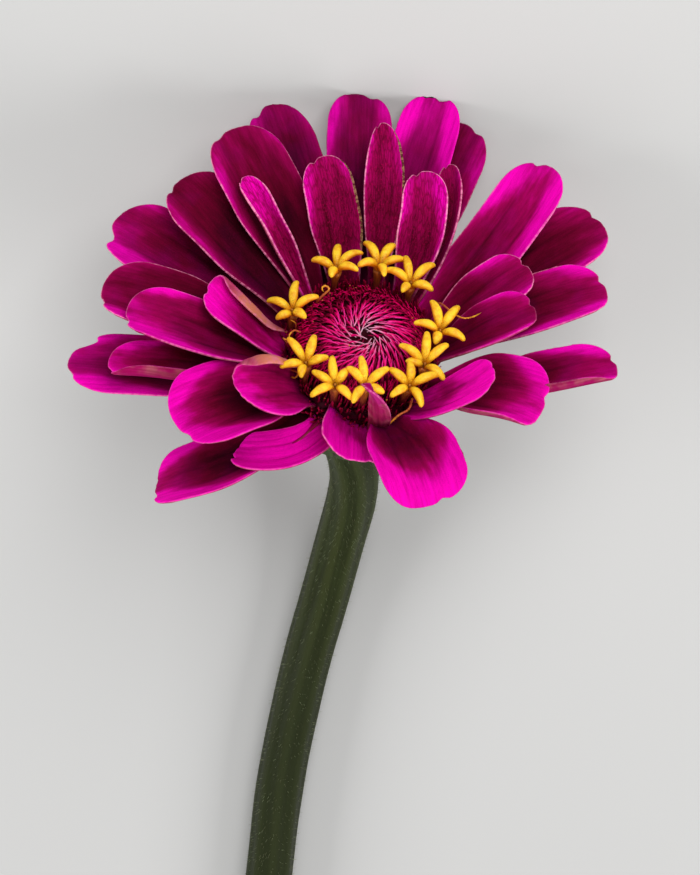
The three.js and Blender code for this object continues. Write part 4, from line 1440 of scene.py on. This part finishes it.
@dataclass
class DiscFlorets:
    """The ring of ten star-shaped florets.

    Attributes:
        florets: Every open floret.
        foot: Radius and height where their tubes start.
    """

    florets: tuple[Floret, ...] = FLORETS
    foot: tuple[float, float] = (9.5, 3.4)

    def build(self) -> list[bpy.types.Object]:
        """Make the lobes, the tubes and the anthers, a piece of each for every floret."""
        gold = LobeFinish().material()
        brown = TubeFinish("floret_tube", (0.16, 0.006, 0.008), (0.42, 0.11, 0.006)).material()
        umber = TubeFinish("floret_anther", (0.1, 0.02, 0.004), (0.5, 0.2, 0.02)).material()
        made = []
        for number, floret in enumerate(self.florets, 1):
            lobes = fuse([
                floret.lobe(math.radians(angle), spread, 50 * number + k)
                for k, (angle, spread) in enumerate(floret.lobes)
            ])
            made.append(lobes.object(f"floret_{number:02d}_lobes", gold))
            made.append(floret.tube(self.foot).object(f"floret_{number:02d}_tube", brown))
            made.append(floret.anther().object(f"floret_{number:02d}_anther", umber))
        return made


@dataclass(frozen=True)
class Style:
    """One withered style, as points that it passes in the head's frame and its radius."""

    knots: tuple[Point, ...]
    radius: float

    def skin(self) -> Skin:
        """Build the closed thread, blunt at its end."""
        steps, sides = 26, 7
        path = curve_through(self.knots, steps)
        t = np.linspace(0.0, 1.0, steps)
        radius = self.radius * (1.0 - 0.35 * t) * np.sqrt(np.clip((1.0 - t) * 12.0, 0.02, 1.0))
        rings = sweep_rings(path, radius, sides)
        return tube_skin(rings, {"along": each_side(t, sides), "grain": rings})


STYLES = (
    Style((
        (-6.9, 5.2, 6.6), (-6.6, 4.7, 8.2), (-6.0, 4.9, 9.2), (-5.5, 5.4, 9.8), (-6.1, 5.7, 10.0), (-6.5, 5.3, 9.8),
        (-6.2, 5.0, 9.5),
    ), 0.2),
    Style((
        (9.0, 9.6, 4.6), (10.2, 7.3, 7.9), (11.2, 5.5, 9.4), (12.6, 4.2, 9.9), (13.6, 3.9, 10.0), (14.8, 4.4, 10.0),
        (15.8, 5.0, 10.4),
    ), 0.16),
    Style(((8.2, -6.6, 3.9), (7.9, -8.8, 4.4), (6.7, -10.0, 4.4), (5.9, -10.8, 3.8), (5.0, -11.3, 2.4)), 0.2),
    Style(((-8.5, -1.4, 8.0), (-9.3, -2.1, 9.2), (-9.8, -3.1, 9.4), (-9.8, -3.7, 9.0)), 0.15),
    Style(((-10.0, -3.2, 7.6), (-10.6, -3.5, 9.0), (-10.3, -3.8, 9.2), (-9.5, -3.6, 8.9)), 0.12),
    Style(((-9.2, -6.2, 5.0), (-8.8, -6.6, 6.2), (-7.9, -7.1, 6.4), (-8.1, -7.6, 6.0), (-8.8, -7.3, 5.5)), 0.16),
    Style(((3.0, -11.0, 0.9), (3.1, -11.6, 1.8), (3.2, -10.9, 2.1)), 0.13),
    Style(((-9.2, 0.4, 6.2), (-9.4, -0.3, 8.6), (-10.1, -0.2, 8.9)), 0.11),
    Style(((9.4, -5.4, 3.0), (10.1, -5.6, 4.6), (10.8, -5.0, 4.4)), 0.15),
    Style(((8.8, -6.6, 3.2), (9.6, -7.2, 4.0), (10.3, -6.8, 4.2)), 0.12),
)


@dataclass
class Litter:
    """The withered styles among the florets and the pollen that lies on the chaff.

    Attributes:
        styles: Every style.
        grains: Pollen grains on each piece of chaff, by its name.
        grain_long: Length of a grain.
        grain_radii: Its radius near its foot, in its middle and near its top.
        grain_size: Least and greatest share of that.
        seed: Picks their places.
    """

    styles: tuple[Style, ...] = STYLES
    grains: dict[str, int] = field(
        default_factory=lambda: {"chaff_brush": 110, "chaff_crown": 24, "chaff_skirt": 90},
    )
    grain_long: float = 0.2
    grain_radii: tuple[float, float, float] = (0.06, 0.1, 0.06)
    grain_size: tuple[float, float] = (0.7, 1.6)
    seed: int = 8

    def grain(self) -> bpy.types.Object:
        """Make one lumpy grain as an unlinked pattern in metres."""
        t = np.array([0.15, 0.5, 0.85])
        path = np.stack([0.0 * t, 0.0 * t, self.grain_long * t - 0.03], 1)
        return tube_skin(sweep_rings(path, np.array(self.grain_radii), 5), {}).pattern("pollen_pattern")

    def build(self, chaff: Sequence[bpy.types.Object]) -> list[bpy.types.Object]:
        """Make the styles, and the pollen on the pieces of chaff."""
        orange = TubeFinish("style_orange", (0.75, 0.16, 0.05), (0.95, 0.42, 0.01)).material()
        golden = TubeFinish("pollen_gold", (0.7, 0.36, 0.01), (0.85, 0.5, 0.03)).material()
        made = [style.skin().object(f"style_{k:02d}", orange) for k, style in enumerate(self.styles, 1)]
        pattern = self.grain()
        tree = scatter_tree("pollen")
        least, most = self.grain_size
        values = {"Pattern": pattern, "Finish": golden, "Least": least, "Most": most, "Seed": self.seed}
        for piece in chaff:
            if piece.name in self.grains:
                made.append(scatter(tree, f"pollen_{piece.name}", piece, self.grains[piece.name], values))
        bpy.data.objects.remove(pattern)
        return made


@dataclass(frozen=True)
class GreenFinish:
    """Matt green plant skin, streaked lengthwise, with a darker margin.

    Attributes:
        name: The material's name.
        shade: Colour in the furrows and in cloudy patches.
        light: Colour of the ridges.
        margin: Colour along the edge.
        fleck: Colour of the flecks.
    """

    name: str
    shade: Colour
    light: Colour
    margin: Colour
    fleck: Colour = (0.11, 0.15, 0.05)

    def material(self) -> bpy.types.Material:
        """Build the finish."""
        s = Shader(self.name)
        grain = s.vector("grain")
        streak = s.noise(s.scaled(grain, (1.6, 1.6, 0.12)), 1.0, 4.0)
        cloud = s.noise(grain, 0.18, 2.0)
        face = s.blend(s.span(streak, 0.35, 0.7), self.shade, self.light)
        face = s.blend(s.span(cloud, 0.35, 0.7, 0.0, 0.35), face, self.shade)
        face = s.blend(s.span(s.noise(grain, 6.0, 2.0), 0.6, 0.75, 0.0, 0.4), face, self.fleck)
        s.colour(s.blend(s.span(s.trait("edge"), 0.25, 0.9, 0.9, 0.0), face, self.margin))
        s.bump(streak, 0.5, 0.00025)
        s.gloss(Roughness=0.55, Specular_IOR_Level=0.15)
        return s.material


@dataclass(frozen=True)
class BractRow:
    """One ring of bracts.

    Attributes:
        count: How many stand in it.
        radius: Their distance from the axis at the foot.
        foot: Height of their feet.
        long: Their length.
        wide: Their width.
        splay: How far they lean outwards, in degrees.
        sunk: Share of the length that is sunk in the bell.
        keel: Depth of the groove along the middle.
        thin: Thickness at the edge.
        thick: How much thicker the middle is.
    """

    count: int
    radius: float
    foot: float
    long: float
    wide: float
    splay: float
    sunk: float = 0.1
    keel: float = 0.12
    thin: float = 0.3
    thick: float = 0.25

    def bract(self, turn: float, seed: int) -> Skin:
        """Build one rounded bract at an angle round the head, in radians."""
        dice = np.random.default_rng(seed)
        share = np.linspace(-self.sunk, 1.0, 16)[:, None]
        s = places_across(15, 0.995)
        t = share * (1.0 - 0.25 * (1.0 - np.sqrt(1.0 - np.abs(s) ** 2.2)))[None, :]
        across = np.broadcast_to(s, t.shape)
        late = np.clip(t, 0.0, 1.0)
        half = self.wide / 2.0 * np.sqrt(1.0 - 0.6 * late**3) * dice.uniform(0.95, 1.06)
        splay = math.radians(self.splay + dice.uniform(-3.0, 3.0))
        out = self.radius + math.sin(splay) * self.long * t - 0.5 * late**2
        out = out + 0.12 * drift(across * 2.0, t * 3.0, seed)
        high = self.foot + math.cos(splay) * self.long * t
        angle = turn + across * half / out
        keel = self.keel * np.exp(-((across / 0.12) ** 2)) * smooth(1.0 - t, 0.1, 0.6)
        reach = out - 0.25 * np.abs(across) - keel
        grid = np.stack([np.cos(angle) * reach, np.sin(angle) * reach, high], -1)
        edge = np.minimum(half * (1.0 - np.abs(across)), self.long * (1.0 - share))
        thick = self.thin + self.thick * smooth(edge, 0.0, 0.8)
        grain = np.stack([across * half, np.full_like(t, seed * 3.1), t * self.long], -1)
        return blade_skin(grid[:, ::-1], thick[:, ::-1], {"grain": grain[:, ::-1], "edge": edge[:, ::-1]})


@dataclass
class Involucre:
    """The green cup under the petals: a bell with three rings of overlapping bracts.

    Attributes:
        rows: The rings of bracts, from the top down.
        profile: Radius and height of the bell.
    """

    rows: tuple[BractRow, ...] = (
        BractRow(12, 9.5, -7.6, 4.8, 5.4, 12),
        BractRow(11, 8.5, -10.4, 5.0, 5.6, 18),
        BractRow(8, 6.6, -13.0, 5.2, 6.0, 30),
    )
    profile: tuple[tuple[float, float], ...] = (
        (0.02, -14.2), (3.6, -14.2), (4.3, -13.9), (6.6, -12.6), (8.4, -10.0), (9.3, -7.0), (9.5, -2.9),
        (0.02, -2.8),
    )

    def build(self) -> list[bpy.types.Object]:
        """Make the bell and the bracts."""
        green = GreenFinish("bract_green", (0.02, 0.035, 0.008), (0.075, 0.11, 0.03), (0.02, 0.008, 0.006))
        finish = green.material()
        bell = lathe_skin(np.array(self.profile), 72)
        bell.traits["edge"] = np.full(len(bell.points), 2.0)
        made = [bell.object("involucre_bell", finish)]
        for number, row in enumerate(self.rows):
            turns = [(k + number / 2.0) * 2.0 * math.pi / row.count for k in range(row.count)]
            skins = [row.bract(turn, 40 * number + k + 1) for k, turn in enumerate(turns)]
            made.append(fuse(skins).object(f"bracts_{number + 1}", finish))
        return made


@dataclass(frozen=True)
class StemFinish:
    """Olive green skin with painted light on the ribs, painted shade in the furrows and painted shade darkening it
    away from the head, and pale pith on the cut end.

    Attributes:
        furrow: Colour between the ribs, in painted shade.
        rib: Colour of the ribs, in painted light.
        streak: Colour of the lengthwise streaks.
        dot: Colour of the dots.
        far: Colour of the painted shade that darkens it away from the head.
        ring: Colour of the cut's outer ring.
        pith: Colour of its middle.
    """

    furrow: Colour = (0.016, 0.021, 0.004)
    rib: Colour = (0.034, 0.042, 0.011)
    streak: Colour = (0.032, 0.044, 0.012)
    dot: Colour = (0.08, 0.1, 0.035)
    far: Colour = (0.012, 0.016, 0.004)
    ring: Colour = (0.3, 0.42, 0.14)
    pith: Colour = (0.72, 0.72, 0.5)

    def material(self) -> bpy.types.Material:
        """Build the finish."""
        s = Shader("stem_green")
        grain = s.vector("grain")
        # Painted shade in the furrows and painted light on the ribs.
        face = s.blend(s.span(s.trait("ridge"), 0.2, 1.0), self.furrow, self.rib)
        streak = s.noise(s.scaled(grain, (1.4, 1.4, 0.06)), 1.0, 4.0)
        face = s.blend(s.span(streak, 0.35, 0.7, 0.0, 0.5), face, self.streak)
        dots = s.noise(s.scaled(grain, (3.0, 3.0, 0.9)), 1.0, 2.0)
        face = s.blend(s.span(dots, 0.62, 0.74, 0.0, 0.3), face, self.dot)
        # Painted shade, growing darker away from the head.
        down = s.node("ShaderNodeSeparateXYZ", {0: grain}).outputs[2]
        face = s.blend(s.span(down, 15.0, 80.0, 0.0, 0.7), face, self.far)
        cut = s.trait("cut")
        end = s.blend(s.span(cut, 0.5, 0.75), self.ring, self.pith)
        s.colour(s.blend(s.span(cut, 0.12, 0.3), face, end))
        s.bump(s.calc("ADD", streak, dots), 0.45, 0.0002)
        s.gloss(Roughness=0.5, Specular_IOR_Level=0.12)
        return s.material


@dataclass
class Stem:
    """The long ribbed stem, from under the head to its cut end.

    Attributes:
        route: Its middle line as offsets from the hub's centre along the row's axes.
        top_radius: Radius under the head.
        end_radius: Radius at the cut end.
        ribs: How many ribs run along it.
        rib_depth: How deep the furrows between them are.
        bumps: Height of its unevenness.
        flare: How much it widens into the head.
        length: Length that its grain is stretched over.
        cap: Size of each ring on the cut end, its place ahead in steps, and how far into the cut it lies.
        hairs: How many short hairs it carries.
        hair_long: Length of a hair.
        hair_bend: How far its tip bends aside.
        hair_radius: Its radius at the foot.
    """

    route: tuple[Point, ...] = (
        (0, 12.8, -6.8), (0, 14.6, -7.8), (-1.7, 21, -11.2), (-2.2, 29, -15.2), (-1.5, 39, -19.2),
        (-0.6, 50, -21.7), (0.4, 60, -22.5), (1.3, 72, -22.6), (1.8, 86, -22.6), (1.5, 100, -22.6),
        (0.9, 116, -22.6),
    )
    top_radius: float = 3.8
    end_radius: float = 3.75
    ribs: int = 8
    rib_depth: float = 0.22
    bumps: float = 0.06
    flare: float = 0.5
    length: float = 122.0
    cap: tuple[tuple[float, float, float], ...] = (
        (0.97, 0.02, 0.3), (0.86, -0.35, 0.55), (0.72, -0.1, 0.75), (0.5, 0.12, 0.9), (0.25, 0.2, 1.0),
    )
    hairs: int = 2600
    hair_long: float = 0.55
    hair_bend: float = 0.12
    hair_radius: float = 0.022

    def body(self) -> Skin:
        """Build the ribbed tube in row millimetres, pressed flat where it lies."""
        steps, sides = 240, 88
        path = curve_through(self.route, steps) + np.array(HEAD.centre)
        t = np.linspace(0.0, 1.0, steps)
        spin = round_angles(sides)
        twist = 0.5 * t[:, None] + 0.1 * drift(t * 5.0, t, 3)[:, None]
        ridge = 0.5 + 0.5 * np.cos((spin[None, :] + twist) * self.ribs)
        radius = mix(self.top_radius, self.end_radius, t)[:, None] - self.rib_depth * (1.0 - ridge)
        uneven = drift(each_side(t * 30.0, sides), np.cos(spin)[None, :] * 2.0 + 0 * t[:, None], 8)
        radius = radius + self.bumps * uneven
        radius = radius + self.flare * np.exp(-((t / 0.025) ** 2))[:, None]
        rings = sweep_rings(path, radius, sides)
        rings[..., 2] = np.maximum(rings[..., 2], 0.0)
        size, ahead, cut = np.array(self.cap).T
        middle = rings[-1].mean(0)
        cap = middle + (rings[-1] - middle) * size[:, None, None]
        cap += (path[-1] - path[-2]) * ahead[:, None, None]
        down = each_side(np.concatenate([t, np.ones(len(cut))]) * self.length, sides)
        traits = {
            "grain": np.stack([np.cos(spin) * 4.0 + 0 * down, np.sin(spin) * 4.0 + 0 * down, down], -1),
            "ridge": np.concatenate([ridge, np.repeat(ridge[-1:], len(cut), 0)]),
            "cut": each_side(np.concatenate([np.zeros(steps), cut]), sides),
        }
        return tube_skin(np.concatenate([rings, cap]), traits)

    def hair(self) -> bpy.types.Object:
        """Make one short bent hair as an unlinked pattern in metres."""
        t = np.linspace(0.0, 1.0, 3)
        path = np.stack([self.hair_bend * t**2, 0 * t, -0.05 + self.hair_long * t], 1)
        rings = sweep_rings(path, self.hair_radius * (1.0 - 0.8 * t), 3)
        return tube_skin(rings, {}).pattern("stem_hair_pattern")

    def build(self) -> list[bpy.types.Object]:
        """Make the stem and its hairs."""
        stem = self.body().object("stem_skin", StemFinish().material(), in_head=False)
        pattern = self.hair()
        silver = TubeFinish("stem_hair", (0.35, 0.42, 0.24), (0.5, 0.55, 0.4)).material()
        values = {"Pattern": pattern, "Finish": silver}
        hairs = scatter(scatter_tree("stem_fuzz"), "stem_hairs", stem, self.hairs, values)
        bpy.data.objects.remove(pattern)
        press_flat(hairs)
        return [stem, hairs]


@dataclass(frozen=True)
class Lamp:
    """One soft square light.

    Attributes:
        name: Its name.
        place: Where it hangs from the hub's centre, in metres.
        power: In watts.
        side: Its side, in metres.
    """

    name: str
    place: Point
    power: float
    side: float


@dataclass
class Studio:
    """The pale floor, the soft lights and the camera at the photograph's angle.

    Attributes:
        floor_side: Half the floor's side, in metres.
        floor_tones: The two colours that the floor drifts between.
        lamps: The lights.
        fill: Strength of the white surroundings.
        tilt: Angle between the face's normal and the view, in degrees.
        roll: How far the picture is turned, in degrees.
        distance: From the hub to the camera.
        pixel: Size of a pixel at the hub.
        hub_pixel: Where the hub's centre falls in the picture.
        picture: Width and height of the picture in pixels.
    """

    floor_side: float = 1.5
    floor_tones: tuple[Colour, Colour] = ((0.48, 0.48, 0.475), (0.51, 0.508, 0.5))
    lamps: tuple[Lamp, ...] = (
        Lamp("key", (-0.1, -0.5, 0.45), 3.6, 0.4),
        Lamp("left", (0.6, 0.15, 0.3), 3.0, 0.35),
        Lamp("right", (-0.6, 0.1, 0.35), 3.0, 0.35),
        Lamp("top", (0.0, 0.35, 0.6), 1.2, 0.5),
    )
    fill: float = 0.25
    tilt: float = 34.0
    roll: float = 9.0
    distance: float = 450.0
    pixel: float = 0.14
    hub_pixel: tuple[float, float] = (357.0, 367.0)
    picture: tuple[int, int] = (700, 875)

    def floor(self) -> None:
        """Lay the plain pale floor."""
        side = self.floor_side
        corners = [(-side, -side, 0.0), (side, -side, 0.0), (side, side, 0.0), (-side, side, 0.0)]
        mesh = bpy.data.meshes.new("floor")
        mesh.from_pydata(corners, [], [(0, 1, 2, 3)])
        s = Shader("floor_pale")
        s.colour(s.blend(s.noise(s.place(), 3.0, 2.0), *self.floor_tones))
        s.gloss(Roughness=0.8, Specular_IOR_Level=0.2)
        mesh.materials.append(s.material)
        floor = linked("floor", mesh)

    def lights(self) -> None:
        """Hang the soft lights round the head and fill the shadows a little."""
        aim = Vector(HEAD.centre) * MM
        for lamp in self.lamps:
            data = bpy.data.lights.new(lamp.name, "AREA")
            data.energy = lamp.power
            data.size = lamp.side
            light = linked(lamp.name, data)
            light.location = aim + Vector(lamp.place)
            light.rotation_euler = (aim - light.location).to_track_quat("-Z", "Y").to_euler()
        world = bpy.data.worlds.new("soft_room")
        world.use_nodes = True
        sky = world.node_tree.nodes["Background"].inputs
        sky["Color"].default_value = (1.0, 1.0, 1.0, 1.0)
        sky["Strength"].default_value = self.fill
        bpy.context.scene.world = world
        bpy.context.scene.view_settings.view_transform = "Standard"

    def camera(self) -> None:
        """Set the camera where the photograph was taken from, relative to the head."""
        tilt, roll = math.radians(self.tilt), math.radians(self.roll)
        right = np.array([1.0, 0.0, 0.0])
        up = np.array([0.0, math.cos(tilt), math.sin(tilt)])
        back = np.array([0.0, -math.sin(tilt), math.cos(tilt)])
        across = math.cos(roll) * right + math.sin(roll) * up
        rise = -math.sin(roll) * right + math.cos(roll) * up
        wide, high = self.picture
        shift_x = (self.hub_pixel[0] - wide / 2.0) * self.pixel
        shift_y = -(self.hub_pixel[1] - high / 2.0) * self.pixel
        eye = HEAD.place((-shift_x * across - shift_y * rise + self.distance * back)[None, :])[0]
        turn = np.stack([across, rise, back]) @ HEAD.axes()
        lens = bpy.data.cameras.new("photo_view")
        lens.sensor_width = 36.0
        lens.lens = self.distance / self.pixel / max(wide, high) * lens.sensor_width
        camera = linked("photo_view", lens)
        camera.matrix_world = Matrix.Translation(Vector(eye)) @ Matrix(turn.T.tolist()).to_4x4()
        bpy.context.scene.camera = camera


def carry(pieces: Sequence[bpy.types.Object], node: str) -> None:
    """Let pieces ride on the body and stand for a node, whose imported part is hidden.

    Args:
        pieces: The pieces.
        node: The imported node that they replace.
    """
    for piece in pieces:
        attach(piece, BODY)
        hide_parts(node)
        LOG.info("%s: %d faces, stands for %s", piece.name, len(piece.data.polygons), node)


def main() -> None:
    """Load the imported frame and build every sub-assembly in order."""
    logging.basicConfig(level=logging.INFO, format="%(name)s %(message)s")
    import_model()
    studio = Studio()
    studio.camera()
    studio.floor()
    studio.lights()
    carry(RayPetals().build(), "ray_petals")
    chaff = ChaffDisc().build()
    carry(chaff, "chaff_disc")
    carry(DiscFlorets().build(), "disc_florets")
    carry(Litter().build(chaff), "disc_florets")
    carry(Involucre().build(), "involucre")
    carry(Stem().build(), "stem")


if __name__ == "__main__":
    main()
